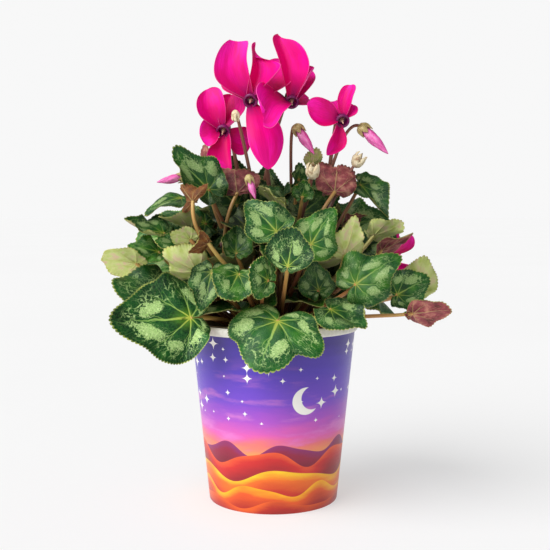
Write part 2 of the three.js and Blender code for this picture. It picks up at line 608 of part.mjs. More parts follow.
// Stalks that would touch are bent apart at their middle, and away from blades beside them
const BEND_ROUNDS = 40;
const BEND_CLEAR = 4.9;
const BEND_BLADE_CLEAR = 3.4;
const BEND_SAMPLES = 20;
function bendStalks() {
  const tubes = [];
  for (const stalk of stalks) {
    for (const [i, curve] of stalk.curves.entries()) tubes.push({ stalk, curve, leaf: stalk.heads[i] });
  }
  for (let round = 0; round < BEND_ROUNDS; round += 1) {
    for (const tube of tubes) {
      tube.points = [];
      tube.push = new THREE.Vector3();
      for (let i = 1; i <= BEND_SAMPLES; i += 1) {
        tube.points.push(curvePoint(tube.curve, 0.08 + 0.88 * i / BEND_SAMPLES));
      }
    }
    for (let i = 0; i < tubes.length; i += 1) {
      for (let j = i + 1; j < tubes.length; j += 1) {
        if (tubes[i].stalk === tubes[j].stalk) continue;
        for (const p of tubes[i].points) {
          for (const q of tubes[j].points) {
            const gap = p.distanceTo(q);
            if (gap > BEND_CLEAR) continue;
            const way = p.clone().sub(q).setZ(0).normalize();
            tubes[i].push.addScaledVector(way, 0.3 * (BEND_CLEAR - gap));
            tubes[j].push.addScaledVector(way, -0.3 * (BEND_CLEAR - gap));
          }
        }
      }
      for (const leaf of leaves) {
        if (tubes[i].stalk.heads.includes(leaf)) continue;
        for (const p of tubes[i].points) {
          for (const q of leaf.samples) {
            const gap = p.distanceTo(q);
            if (gap > BEND_BLADE_CLEAR) continue;
            tubes[i].push.addScaledVector(p.clone().sub(q).normalize(), 0.2 * (BEND_BLADE_CLEAR - gap));
          }
        }
      }
    }
    for (const tube of tubes) {
      tube.push.clampLength(0, 0.8);
      tube.curve[1].addScaledVector(tube.push, 0.7);
      tube.curve[2].add(tube.push);
    }
  }
}

// Petal: narrow at the mouth, broad past the middle, rounded at the end
function petalWidth(u) {
  const broad = 0.6;
  if (u < broad) return 0.2 + 0.8 * Math.sin(0.5 * Math.PI * u / broad);
  return Math.sqrt(Math.max(0.02, 1 - ((u - broad) / 0.405) ** 2));
}

function petalPoint(petal, u, v, lift) {
  const half = 0.5 * petal.width * petalWidth(u);
  const arc = petal.cup;
  const radius = half / arc;
  let x = (radius - lift) * Math.sin(arc * v);
  let z = radius - (radius - lift) * Math.cos(arc * v);
  const turn = petal.twist * u;
  const turnedX = x * Math.cos(turn) - z * Math.sin(turn);
  const turnedZ = x * Math.sin(turn) + z * Math.cos(turn);
  x = turnedX;
  z = turnedZ + petal.bow * petal.length * Math.sin(Math.PI * u);
  return [x, petal.length * u, z];
}

function petalSolid(petal, thickness = PETAL_THICKNESS) {
  const rows = 4;
  const columns = 3;
  const upper = [];
  const lower = [];
  for (let i = 0; i <= rows; i += 1) {
    for (let j = 0; j <= columns; j += 1) {
      const v = 2 * j / columns - 1;
      upper.push(placeInFrame(petal.base, petal.frame, petalPoint(petal, i / rows, v, thickness / 2)));
      lower.push(placeInFrame(petal.base, petal.frame, petalPoint(petal, i / rows, v, -thickness / 2)));
    }
  }
  const faces = [];
  for (let i = 0; i < rows; i += 1) {
    for (let j = 0; j < columns; j += 1) {
      const a = i * (columns + 1) + j;
      const b = a + columns + 1;
      faces.push([a, a + 1, b + 1]);
      faces.push([a, b + 1, b]);
    }
  }
  return slab(upper, lower, faces);
}

// A turned piece stands on the z axis and is then aimed along a direction
function turned(profile, sides, place, axis, start = 0) {
  const points = profile.map(([r, h]) => new THREE.Vector2(r, h));
  const geometry = new THREE.LatheGeometry(points, sides, start);
  geometry.rotateX(Math.PI / 2);
  const aim = new THREE.Quaternion().setFromUnitVectors(new THREE.Vector3(0, 0, 1), axis);
  geometry.applyQuaternion(aim);
  geometry.translate(place.x, place.y, place.z);
  return solidFromGeometry(geometry);
}

// Mouth of a flower, seen along its axis: a short tube with a hollow mouth and the tip of the style
const MOUTH_PROFILE = [[0, -8], [3.4, -8], [5.2, -2], [4, 0.4], [1.4, -2.2], [0, 3]];
// Green cup behind the flower, from the stalk to the back of the tube
const HUSK_PROFILE = [[0, -13.5], [1.5, -13.3], [3.2, -11], [3.6, -8.3], [0, -8.3]];
const SPENT_PROFILE = [[0, -3], [1.6, -2.6], [3.4, 0], [4.2, 4], [4.6, 8], [3.2, 8.4], [2.4, 5], [0, 4]];

const placed = [];
function keep(name, solid, colour, roughness, slack = 0.05) {
  placed.push({ name, solid: solid.simplify(slack), colour, roughness });
}

for (const stalk of stalks) {
  stalk.curves = [];
  if (stalk.heads.length > 0) {
    for (const leaf of stalk.heads) stalk.curves.push(leafCurve(stalk, leaf));
  } else {
    const head = stalk.heading.clone().addScaledVector(stalk.axis, stalk.back);
    stalk.curves.push(headCurve(stalk, head, stalk.hook));
  }
}
bendStalks();

// What passes a blade closely leaves a narrow gap in it
const SLIT = 0.4;
function boxesMeet(a, b) {
  const p = a.boundingBox();
  const q = b.boundingBox();
  return [0, 1, 2].every((k) => p.min[k] < q.max[k] && q.min[k] < p.max[k]);
}

const stems = [];
for (const stalk of stalks) {
  stalk.curves.forEach((curve, i) => {
    const leaf = stalk.heads[i];
    const plane = leaf ? leaf.frame.z : null;
    const steps = leaf ? 3 : 6;
    const solid = tubeSolid(curve, stalk.radii, steps, 4, 0, plane);
    const wide = tubeSolid(curve, stalk.radii, steps, 4, 1.4 * SLIT, plane);
    const way = curvePoint(curve, 1 / steps).sub(curve[0]).normalize();
    stems.push({ stalk, leaf, solid, wide, way });
  });
}
for (const leaf of leaves) leaf.blade = bladeSolid(leaf);
leaves.forEach((leaf, i) => {
  let blade = leaf.blade;
  for (const stem of stems) {
    if (stem.leaf === leaf) continue;
    if (boxesMeet(blade, stem.wide)) blade = blade.subtract(stem.wide);
  }
  leaves.forEach((other, j) => {
    if (j <= i || !boxesMeet(blade, other.blade)) return;
    if (blade.intersect(other.blade).volume() < 0.001) return;
    blade = blade.subtract(bladeSolid(other, BLADE_THICKNESS + 2 * SLIT));
  });
  leaf.trimmed = blade;
});

// Leaves
for (const stalk of stalks.filter((s) => s.heads.length > 0)) {
  let solid = null;
  for (const stem of stems.filter((s) => s.stalk === stalk)) {
    const one = largest(stem.leaf.trimmed.add(stem.solid));
    solid = solid ? solid.add(one) : one;
  }
  keep(stalk.node, largest(solid), stalk.heads[0].colour, 0.55);
}

// Flowers
FLOWERS.forEach(([node, mouth, axis, petals]) => {
  const stalk = stalks.find((s) => s.node === node);
  const stem = stems.find((s) => s.stalk === stalk);
  const centre = vec(mouth);
  let bloom = turned(MOUTH_PROFILE, 6, centre, stalk.axis);
  for (const [tip, face, width, cup, bow, twist] of petals) {
    const end = vec(tip);
    const side = end.clone().sub(centre);
    side.addScaledVector(stalk.axis, -side.dot(stalk.axis)).normalize();
    const base = centre.clone().addScaledVector(side, 3.2).addScaledVector(stalk.axis, -1.8);
    const petal = { base, width, cup, bow, twist, length: end.distanceTo(base) };
    petal.frame = frameOf(base, end, vec(face));
    bloom = bloom.add(petalSolid(petal));
  }
  keep(`${node}_petals`, largest(bloom), PETAL_MAGENTA, 0.45);
  const husk = turned(HUSK_PROFILE, 6, centre, stalk.axis);
  keep(`${node}_stalk`, husk.add(stem.solid), STALK_BROWN, 0.5);
});

// Buds: a spindle of furled petals in a small husk
const HUSK_TURN = 0.2;
const BUD_PROFILE = [[0, -0.1], [0.55, 0], [0.95, 0.22], [1, 0.42], [0.72, 0.68], [0.34, 0.9], [0, 1]];
BUDS.forEach(([node, place, axis, length, radius]) => {
  const stalk = stalks.find((s) => s.node === node);
  const stem = stems.find((s) => s.stalk === stalk);
  const spindle = BUD_PROFILE.map(([r, h]) => [r * radius, h * length]);
  const husk = HUSK_PROFILE.map(([r, h]) => [r * radius / 3.4, h + 8.3 + radius * 0.9]);
  const bud = turned(spindle, 6, vec(place), stalk.axis);
  const cup = turned(husk, 7, vec(place), stalk.axis, HUSK_TURN);
  keep(node, bud.add(cup).add(stem.solid), BUD_PINK, 0.5);
});

// Spent husks
SPENT.forEach(([place, axis, radius], i) => {
  const stalk = stalks.find((s) => s.node === `spent_${i + 1}`);
  const stem = stems.find((s) => s.stalk === stalk);
  const profile = SPENT_PROFILE.map(([r, h]) => [r * radius / 4.2, h]);
  keep(stalk.node, turned(profile, 6, vec(place), stalk.axis).add(stem.solid), HUSK_CREAM, 0.7);
});

// Card cup: flat floor, flared wall and a rim rolled outwards
const wallRadius = (z) => CUP_BASE_RADIUS + (CUP_WALL_TOP_RADIUS - CUP_BASE_RADIUS) * z / CUP_WALL_HEIGHT;
const upright = new THREE.Vector3(0, 0, 1);
const ground = new THREE.Vector3();
const cupProfile = [
  [0, 0],
  [CUP_BASE_RADIUS, 0],
  [CUP_WALL_TOP_RADIUS, CUP_WALL_HEIGHT],
  [CUP_ROLL_RADIUS - 0.1, CUP_WALL_HEIGHT + 0.6],
  [CUP_ROLL_RADIUS, CUP_HEIGHT - 1.4],
  [CUP_ROLL_RADIUS - 1.2, CUP_HEIGHT],
  [wallRadius(CUP_HEIGHT) - CARD, CUP_HEIGHT - 0.9],
  [wallRadius(CUP_FLOOR) - CARD, CUP_FLOOR],
  [0, CUP_FLOOR],
];
keep('cup', turned(cupProfile, CUP_SIDES, ground, upright), PRINT_VIOLET, 0.35);

// Plastic nursery pot standing in the cup, with drain holes in its floor
const potFoot = CUP_FLOOR + SEAT_GAP;
const potRadius = (z) => wallRadius(z) - CARD - POT_CLEARANCE;
const potProfile = [
  [0, potFoot],
  [potRadius(potFoot), potFoot],
  [potRadius(POT_HEIGHT), POT_HEIGHT],
  [potRadius(POT_HEIGHT) - POT_WALL, POT_HEIGHT],
  [potRadius(potFoot) - POT_WALL, potFoot + POT_WALL],
  [0, potFoot + POT_WALL],
];
let pot = turned(potProfile, POT_SIDES, ground, upright);
const DRAINS = 6;
const DRAIN_RADIUS = 3.5;
const DRAIN_RING = 26;
for (let i = 0; i < DRAINS; i += 1) {
  const bearing = 2 * Math.PI * i / DRAINS;
  const drain = new THREE.CylinderGeometry(DRAIN_RADIUS, DRAIN_RADIUS, 6, 6);
  drain.rotateX(Math.PI / 2);
  drain.translate(DRAIN_RING * Math.cos(bearing), DRAIN_RING * Math.sin(bearing), potFoot);
  pot = pot.subtract(solidFromGeometry(drain));
}
keep('nursery_pot', pot, POT_BROWN, 0.6);

// Tuber, half out of the soil, with a socket for every stalk
const TUBER_TURN = 0.08;
function tuberSolid(grow) {
  const geometry = new THREE.SphereGeometry(1, 12, 6);
  geometry.rotateX(Math.PI / 2);
  geometry.rotateZ(TUBER_TURN);
  const at = geometry.attributes.position;
  for (let i = 0; i < at.count; i += 1) {
    const z = at.getZ(i);
    const rise = z > 0 ? TUBER_RISE : TUBER_DEPTH;
    at.setXYZ(i, at.getX(i) * (TUBER_RADIUS + grow), at.getY(i) * (TUBER_RADIUS + grow),
      TUBER_MIDDLE + z * (rise + grow));
  }
  return solidFromGeometry(geometry);
}
let tuber = tuberSolid(0);
for (const stalk of stalks) {
  const own = stems.filter((stem) => stem.stalk === stalk);
  const way = new THREE.Vector3();
  for (const stem of own) way.add(stem.way);
  way.normalize();
  const spread = Math.max(...own.map((stem) => stem.way.angleTo(way)));
  const radius = stalk.radii[0] + SOCKET_GAP + (STALK_SOCKET + 1) * Math.tan(spread);
  const foot = stalk.curves[0][0].clone().addScaledVector(way, -SOCKET_GAP);
  const line = [0, 4, 8, 12].map((reach) => foot.clone().addScaledVector(way, reach));
  tuber = tuber.subtract(tubeSolid(line, [radius, radius], 1, 4));
}
keep('tuber', largest(tuber), TUBER_BROWN, 0.85, 0.12);

// Soil: fills the nursery pot, with an uneven top and a bed for the tuber
const soilDraw = mulberry(7);
const soilFoot = potFoot + POT_WALL + SEAT_GAP;
const soilRadius = (z) => potRadius(z) - POT_WALL - SEAT_GAP;
const soilRings = [
  [soilRadius(soilFoot), soilFoot, 0],
  [soilRadius(SOIL_TOP - 2), SOIL_TOP - 2, 1.2],
  [soilRadius(SOIL_TOP) * 0.86, SOIL_TOP, 1.6],
  [soilRadius(SOIL_TOP) * 0.68, SOIL_TOP + 0.6, 1.6],
];
const soilPoints = [new THREE.Vector3(0, 0, soilFoot)];
for (const [radius, height, rough] of soilRings) {
  for (let i = 0; i < POT_SIDES; i += 1) {
    const bearing = 2 * Math.PI * i / POT_SIDES - Math.PI / 2;
    const bump = rough * (soilDraw() - 0.5);
    soilPoints.push(new THREE.Vector3(radius * Math.cos(bearing), radius * Math.sin(bearing), height + bump));
  }
}
soilPoints.push(new THREE.Vector3(0, 0, SOIL_TOP));
const soilIndex = [];
for (let i = 0; i < POT_SIDES; i += 1) {
  const next = (i + 1) % POT_SIDES;
  soilIndex.push(0, 1 + next, 1 + i);
  for (let ring = 0; ring < soilRings.length - 1; ring += 1) {
    const a = 1 + ring * POT_SIDES + i;
    const b = 1 + ring * POT_SIDES + next;
    soilIndex.push(a, b, b + POT_SIDES);
    soilIndex.push(a, b + POT_SIDES, a + POT_SIDES);
  }
  const last = 1 + (soilRings.length - 1) * POT_SIDES;
  soilIndex.push(last + i, last + next, soilPoints.length - 1);
}
keep('soil', solidFrom(soilPoints, soilIndex).subtract(tuberSolid(SEAT_GAP)), PEAT, 0.95);

for (const item of placed) addMesh(item.name, item.solid, item.colour, item.roughness);

export default group;
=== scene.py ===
"""Potted cyclamen in a printed card cup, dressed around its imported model."""

import itertools
import math
from types import SimpleNamespace

import bpy
import numpy as np
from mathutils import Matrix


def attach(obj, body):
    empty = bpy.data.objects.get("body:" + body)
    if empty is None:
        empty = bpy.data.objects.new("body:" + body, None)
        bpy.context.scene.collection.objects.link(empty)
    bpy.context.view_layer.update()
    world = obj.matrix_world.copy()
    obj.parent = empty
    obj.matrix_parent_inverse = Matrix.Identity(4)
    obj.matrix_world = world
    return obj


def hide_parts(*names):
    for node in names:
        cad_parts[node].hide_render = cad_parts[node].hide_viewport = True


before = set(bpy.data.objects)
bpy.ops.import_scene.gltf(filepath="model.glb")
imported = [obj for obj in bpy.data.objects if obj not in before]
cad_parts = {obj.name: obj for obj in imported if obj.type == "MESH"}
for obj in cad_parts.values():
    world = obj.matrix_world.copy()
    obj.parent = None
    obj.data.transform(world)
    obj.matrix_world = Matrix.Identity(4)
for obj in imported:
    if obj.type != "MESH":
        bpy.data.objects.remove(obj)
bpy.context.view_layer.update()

# The room
# A pale studio floor that runs into an equally pale backdrop, under a soft sky of lamps and one broad
# lamp high on the left. The camera stands a little above the rim of the cup and looks slightly down.
CAMERA_PLACE = (0.0, -0.688, 0.2045)
CAMERA_DIP = math.radians(3.62)
PICTURE_SIDE = 550
FOCUS_PIXELS = 958.0
MIDDLE_PIXEL = 273.3
SENSOR_WIDTH = 36.0
FLOOR_REACH = 60.0
FLOOR_GLOW = 0.517
SKY_STRENGTH = 0.285
KEY_WAY = (-0.72, -0.54, 0.80)
KEY_STRENGTH = 3.6
KEY_SOFTNESS = math.radians(56)
BACKDROP = (0.937, 0.937, 0.938, 1)

scene = bpy.context.scene
scene.view_settings.view_transform = "Standard"
camera = bpy.data.objects.new("camera", bpy.data.cameras.new("camera"))
camera.data.sensor_width = SENSOR_WIDTH
camera.data.lens = FOCUS_PIXELS / PICTURE_SIDE * SENSOR_WIDTH
camera.data.shift_x = (PICTURE_SIDE / 2 - MIDDLE_PIXEL) / PICTURE_SIDE
camera.data.clip_start = 0.01
camera.location = CAMERA_PLACE
camera.rotation_euler = (math.pi / 2 - CAMERA_DIP, 0, 0)
scene.collection.objects.link(camera)
scene.camera = camera

key_lamp = bpy.data.objects.new("key_lamp", bpy.data.lights.new("key_lamp", "SUN"))
key_lamp.data.energy = KEY_STRENGTH
key_lamp.data.angle = KEY_SOFTNESS
key_lamp.rotation_euler = (
    math.atan2(math.hypot(KEY_WAY[0], KEY_WAY[1]), KEY_WAY[2]),
    0,
    math.atan2(KEY_WAY[0], -KEY_WAY[1]),
)
scene.collection.objects.link(key_lamp)


def paint(red, green, blue):
    """A screen colour of 0 to 255 as the linear colour that shaders take."""
    parts = np.array([red, green, blue]) / 255
    linear = np.where(parts < 0.04045, parts / 12.92, ((parts + 0.055) / 1.055) ** 2.4)
    return (*[float(v) for v in linear], 1.0)


def node(tree, kind, inputs=None, **settings):
    """A shader node with its settings, and its inputs linked or set."""
    made = tree.nodes.new(kind)
    for key, value in settings.items():
        setattr(made, key, value)
    for socket, value in (inputs or {}).items():
        if isinstance(value, bpy.types.NodeSocket):
            tree.links.new(value, made.inputs[socket])
        else:
            made.inputs[socket].default_value = value
    return made


world = bpy.data.worlds.new("studio")
world.use_nodes = True
tree = world.node_tree
sky_light = tree.nodes["Background"]
sky_light.inputs["Color"].default_value = (1, 1, 1, 1)
sky_light.inputs["Strength"].default_value = SKY_STRENGTH
backdrop = node(tree, "ShaderNodeBackground", {"Color": BACKDROP, "Strength": 1.0})
seen = node(tree, "ShaderNodeLightPath").outputs["Is Camera Ray"]
shown = node(tree, "ShaderNodeMixShader", {0: seen, 1: sky_light.outputs[0], 2: backdrop.outputs[0]})
tree.links.new(shown.outputs[0], tree.nodes["World Output"].inputs["Surface"])
scene.world = world


def ramp(tree, share, stops):
    """Colours along a scale of 0 to 1: stops are (place, red, green, blue)."""
    made = node(tree, "ShaderNodeValToRGB", {"Fac": share})
    elements = made.color_ramp.elements
    while len(elements) < len(stops):
        elements.new(0.5)
    for element, (place, *colour) in zip(elements, stops):
        element.position = place
        element.color = paint(*colour)
    return made.outputs["Color"]


def grain(tree, vector, scale, detail=3.0, roughness=0.5):
    """Soft random values of about 0.2 to 0.8."""
    inputs = {"Vector": vector, "Scale": scale, "Detail": detail, "Roughness": roughness}
    return node(tree, "ShaderNodeTexNoise", inputs).outputs["Fac"]


def own_place(tree):
    """Coordinates of the piece itself, in metres."""
    return node(tree, "ShaderNodeTexCoord").outputs["Object"]


def finish(name, roughness, **constants):
    """A new material, with the sockets that are the same all over set on its shader."""
    made = bpy.data.materials.new(name)
    made.use_nodes = True
    shader = made.node_tree.nodes["Principled BSDF"]
    shader.inputs["Roughness"].default_value = roughness
    for key, value in constants.items():
        shader.inputs[key.replace("_", " ")].default_value = value
    return made, made.node_tree, shader


floor_finish, tree, shader = finish("studio_floor", 0.7)
cloudy = grain(tree, own_place(tree), 1.5)
cloudy_grey = ramp(tree, cloudy, [(0.3, 168, 168, 168), (0.7, 171, 171, 171)])
tree.links.new(cloudy_grey, shader.inputs["Base Color"])
shader.inputs["Emission Color"].default_value = (1, 1, 1, 1)
shader.inputs["Emission Strength"].default_value = FLOOR_GLOW
floor_mesh = bpy.data.meshes.new("studio_floor")
corners = [(FLOOR_REACH * x, FLOOR_REACH * y, 0) for x, y in ((-1, -1), (1, -1), (1, 1), (-1, 1))]
floor_mesh.from_pydata(corners, [], [(0, 1, 2, 3)])
floor_mesh.materials.append(floor_finish)
floor = bpy.data.objects.new("studio_floor", floor_mesh)
scene.collection.objects.link(floor)


# Card cup
# A flared cup of coated paper card, printed outside and white within, with a rim rolled outwards.
# It is one blank, wrapped and glued along a lapped seam at the back.
MM = 0.001
CUP_BASE_RADIUS = 46.2
CUP_WALL_TOP_RADIUS = 58.7
CUP_WALL_HEIGHT = 122
CUP_HEIGHT = 128
CUP_ROLL_RADIUS = 60.6
CARD = 0.9
CUP_FLOOR = 1.6
CUP_SIDES = 192
WALL_ROWS = 40
LAP_STEP = 0.35
LAP_WIDTH = 0.13
HARD_EDGE = 0.6


def wall_radius(height):
    """Outer radius of the flared wall: it grows in a straight line with height."""
    return CUP_BASE_RADIUS + (CUP_WALL_TOP_RADIUS - CUP_BASE_RADIUS) * height / CUP_WALL_HEIGHT


def grid_quads(rows, columns, wrap=False):
    """Quads of a grid of points numbered row by row. With wrap the last column meets the first."""
    row = np.arange(rows - 1)[:, None]
    column = np.arange(columns if wrap else columns - 1)[None, :]
    beside = (column + 1) % columns
    corners = [row * columns + column, row * columns + beside,
               (row + 1) * columns + beside, (row + 1) * columns + column]
    return np.stack(np.broadcast_arrays(*corners), axis=-1).reshape(-1, 4)


def shell(points, quads, lie, trait, look=0):
    """A closed surface: corners that coincide are made one, each quad becomes two triangles,
    and if the signed volume is negative every triangle is turned round."""
    points = np.asarray(points, float).reshape(-1, 3)
    lie = np.broadcast_to(np.asarray(lie, float), (len(points), 3))
    trait = np.broadcast_to(np.asarray(trait, float), (len(points), 3))
    _, first, back = np.unique(np.round(points, 4), axis=0, return_index=True, return_inverse=True)
    corners = back.reshape(-1)[quads]
    faces = np.concatenate([corners[:, [0, 1, 2]], corners[:, [0, 2, 3]]])
    looks = np.tile(np.broadcast_to(look, len(quads)), 2)
    whole = (faces[:, 0] != faces[:, 1]) & (faces[:, 1] != faces[:, 2]) & (faces[:, 2] != faces[:, 0])
    faces, looks = faces[whole], looks[whole]
    points = points[first]
    a, b, c = (points[faces[:, k]] for k in range(3))
    if np.einsum("ij,ij->", a, np.cross(b, c)) < 0:
        faces = faces[:, ::-1]
    return SimpleNamespace(points=points, faces=faces, lie=lie[first], trait=trait[first], looks=looks)


def piece(name, shells, finishes, sharp=0.9):
    """One object at the origin from its shells, which are in millimetres."""
    counts = np.cumsum([0] + [len(s.points) for s in shells])
    points = np.concatenate([s.points for s in shells]) * MM
    faces = np.concatenate([s.faces + start for s, start in zip(shells, counts)])
    mesh = bpy.data.meshes.new(name)
    mesh.vertices.add(len(points))
    mesh.vertices.foreach_set("co", points.ravel())
    mesh.loops.add(faces.size)
    mesh.loops.foreach_set("vertex_index", faces.ravel().astype(np.int32))
    mesh.polygons.add(len(faces))
    mesh.polygons.foreach_set("loop_start", np.arange(0, faces.size, 3, dtype=np.int32))
    mesh.polygons.foreach_set("material_index", np.concatenate([s.looks for s in shells]).astype(np.int32))
    mesh.polygons.foreach_set("use_smooth", np.ones(len(faces), bool))
    for key in ("lie", "trait"):
        made = mesh.attributes.new(key, "FLOAT_VECTOR", "POINT")
        made.data.foreach_set("vector", np.concatenate([getattr(s, key) for s in shells]).ravel())
    mesh.update()
    mesh.validate()
    mesh.set_sharp_from_angle(angle=sharp)
    for each in finishes:
        mesh.materials.append(each)
    made = bpy.data.objects.new(name, mesh)
    scene.collection.objects.link(made)
    return made


def turned(profile, sides, look=0, wobble=None):
    """Surface of revolution: each (radius, height) of the profile is carried round the z axis.
    Wobble may change the radius by row and bearing."""
    profile = np.asarray(profile, float)
    bearing = 2 * np.pi * np.arange(sides) / sides
    radius = np.repeat(profile[:, :1], sides, axis=1)
    height = np.repeat(profile[:, 1:2], sides, axis=1)
    if wobble is not None:
        radius, height = wobble(radius, height, bearing[None, :])
    points = np.stack([radius * np.cos(bearing), radius * np.sin(bearing), height], axis=-1)
    lie = np.stack([np.cos(bearing) + 0 * height, np.sin(bearing) + 0 * height, height / 10], axis=-1)
    look = np.repeat(np.broadcast_to(look, len(profile) - 1), sides)
    return shell(points, grid_quads(len(profile), sides, True), lie.reshape(-1, 3), (0, 0, 0), look)


def lapped(radius, height, bearing):
    """The card steps out at the seam behind the cup, where one edge is glued over the other."""
    behind = (bearing - np.pi / 2) / LAP_WIDTH
    step = np.clip(1.5 * (1 - np.abs(behind)), 0, 1) * np.clip(3 + 3 * behind, 0, 1)
    on_wall = (height > 0.5) & (height < CUP_WALL_HEIGHT + 0.1) & (radius > wall_radius(height) - CARD / 2)
    return radius + LAP_STEP * step * on_wall, height


wall = [(wall_radius(z), z) for z in np.linspace(0.6, CUP_WALL_HEIGHT, WALL_ROWS)]
roll = [(59.1, 122.15), (59.9, 122.3), (60.4, 122.8), (CUP_ROLL_RADIUS, 123.7), (CUP_ROLL_RADIUS, 125.2),
        (60.45, 126.4), (60.1, 127.2), (59.5, 127.8), (59.0, CUP_HEIGHT), (58.6, 127.8),
        (wall_radius(127.1) - CARD, 127.1)]
inside = [(wall_radius(z) - CARD, z) for z in (120, 90, 60, 30, CUP_FLOOR + 1)]
inside += [(wall_radius(CUP_FLOOR) - CARD - 1, CUP_FLOOR), (0, CUP_FLOOR)]
foot = [(0, 0), (CUP_BASE_RADIUS - 0.9, 0), (CUP_BASE_RADIUS - 0.2, 0.12)]
cup_profile = foot + wall + roll + inside
cup_looks = [1] * 2 + [0] * WALL_ROWS + [1] * (len(cup_profile) - 3 - WALL_ROWS)


def maths(tree, operation, *values):
    """One step of arithmetic in a material."""
    return node(tree, "ShaderNodeMath", dict(enumerate(values)), operation=operation).outputs[0]


def times(tree, product, *factors):
    """The product of two or more values."""
    for factor in factors:
        product = maths(tree, "MULTIPLY", product, factor)
    return product


def less(tree, first, second):
    """The first value less the second."""
    return maths(tree, "SUBTRACT", first, second)


def stretch(tree, value, factor, start):
    """The value times factor, counted from start."""
    return maths(tree, "MULTIPLY_ADD", value, factor, start)


def fade(tree, value, start, stop, low=0.0, high=1.0):
    """Low up to start, high from stop on, and a smooth step between them."""
    inputs = {"Value": value, "From Min": start, "From Max": stop, "To Min": low, "To Max": high}
    return node(tree, "ShaderNodeMapRange", inputs, interpolation_type="SMOOTHSTEP").outputs[0]


def blend(tree, share, under, over, way="MIX"):
    """Colour over laid on colour under, as far as share says."""
    inputs = {0: share, 6: under, 7: over}
    return node(tree, "ShaderNodeMix", inputs, data_type="RGBA", blend_type=way).outputs[2]


def relief(tree, shader, height, strength, distance):
    """Fine relief that is too small for the mesh."""
    inputs = {"Height": height, "Strength": strength, "Distance": distance}
    bump = node(tree, "ShaderNodeBump", inputs)
    tree.links.new(bump.outputs["Normal"], shader.inputs["Normal"])


def combined(tree, x, y, z=0.0):
    """A vector of its three parts."""
    return node(tree, "ShaderNodeCombineXYZ", {0: x, 1: y, 2: z}).outputs[0]


def hypotenuse(tree, first, second):
    """The root of the sum of two squares."""
    squares = [maths(tree, "POWER", side, 2.0) for side in (first, second)]
    return maths(tree, "SQRT", maths(tree, "ADD", *squares))


SKY_HAZE = 0.16
STAR_SPACING = 0.0125
STARS_FROM = 0.52
STARLESS_SHARE = 0.35
STAR_LEAST = 0.05
STAR_GROWTH = 0.42
MEAN_RADIUS = 0.0525
MOON_BEARING = 0.42
MOON_HEIGHT = 0.079
MOON_RADIUS = 0.0095
DARK_PART = (0.09, 0.002, 0.86)
DISC_EDGE = 0.0002
RIPPLE_SHARE = 0.35
RIDGE_DEPTH = 0.13
RIDGE_HAZE = 0.10
RIDGE_EDGE = 0.004

print_finish, tree, shader = finish("printed_card", 0.33, Coat_Roughness=0.25)
place = node(tree, "ShaderNodeSeparateXYZ", {0: own_place(tree)})
east, south, height = place.outputs[0], times(tree, place.outputs[1], -1.0), place.outputs[2]
bearing = maths(tree, "ARCTAN2", east, south)
level = maths(tree, "DIVIDE", height, CUP_WALL_HEIGHT * MM)
stretched = node(tree, "ShaderNodeMapping", {"Vector": own_place(tree), "Scale": (1, 1, 4.5)}).outputs[0]
haze = grain(tree, stretched, 22, 5, 0.55)
dusk = stretch(tree, less(tree, haze, 0.5), SKY_HAZE, level)
sky = ramp(tree, dusk, [
    (0.33, 247, 160, 84), (0.39, 238, 120, 118), (0.45, 226, 94, 180),
    (0.53, 176, 80, 200), (0.64, 116, 70, 202), (0.80, 84, 58, 186),
    (0.97, 62, 46, 138),
])
cloud = times(tree, fade(tree, haze, 0.5, 0.68), fade(tree, level, 0.95, 0.55))
sky = blend(tree, times(tree, cloud, 0.55), sky, paint(236, 138, 208))

wall_place = combined(tree, times(tree, bearing, MEAN_RADIUS / STAR_SPACING),
                      maths(tree, "DIVIDE", height, STAR_SPACING))
star_inputs = {"Vector": wall_place, "Scale": 1.0, "Exponent": 0.5, "Randomness": 0.8}
stars = node(tree, "ShaderNodeTexVoronoi", star_inputs, voronoi_dimensions="2D", distance="MINKOWSKI")
lot = node(tree, "ShaderNodeSeparateColor", {0: stars.outputs["Color"]}).outputs[0]
star_size = stretch(tree, maths(tree, "POWER", lot, 2.0), STAR_GROWTH, STAR_LEAST)
star_field = times(tree, maths(tree, "LESS_THAN", stars.outputs["Distance"], star_size),
                   maths(tree, "GREATER_THAN", level, STARS_FROM),
                   maths(tree, "GREATER_THAN", lot, STARLESS_SHARE))
sky = blend(tree, star_field, sky, paint(250, 248, 246))


def disc(tree, centre_bearing, centre_height, radius):
    """1 inside a round patch of the wall and 0 outside it."""
    across = times(tree, less(tree, bearing, centre_bearing), MEAN_RADIUS)
    away = hypotenuse(tree, across, less(tree, height, centre_height))
    return fade(tree, away, radius + DISC_EDGE, radius - DISC_EDGE)


whole_moon = disc(tree, MOON_BEARING, MOON_HEIGHT, MOON_RADIUS)
dark_turn, dark_rise, dark_share = DARK_PART
dark_moon = disc(tree, MOON_BEARING + dark_turn, MOON_HEIGHT + dark_rise, MOON_RADIUS * dark_share)
crescent = times(tree, whole_moon, less(tree, 1.0, dark_moon))
picture = blend(tree, crescent, sky, paint(252, 250, 244))

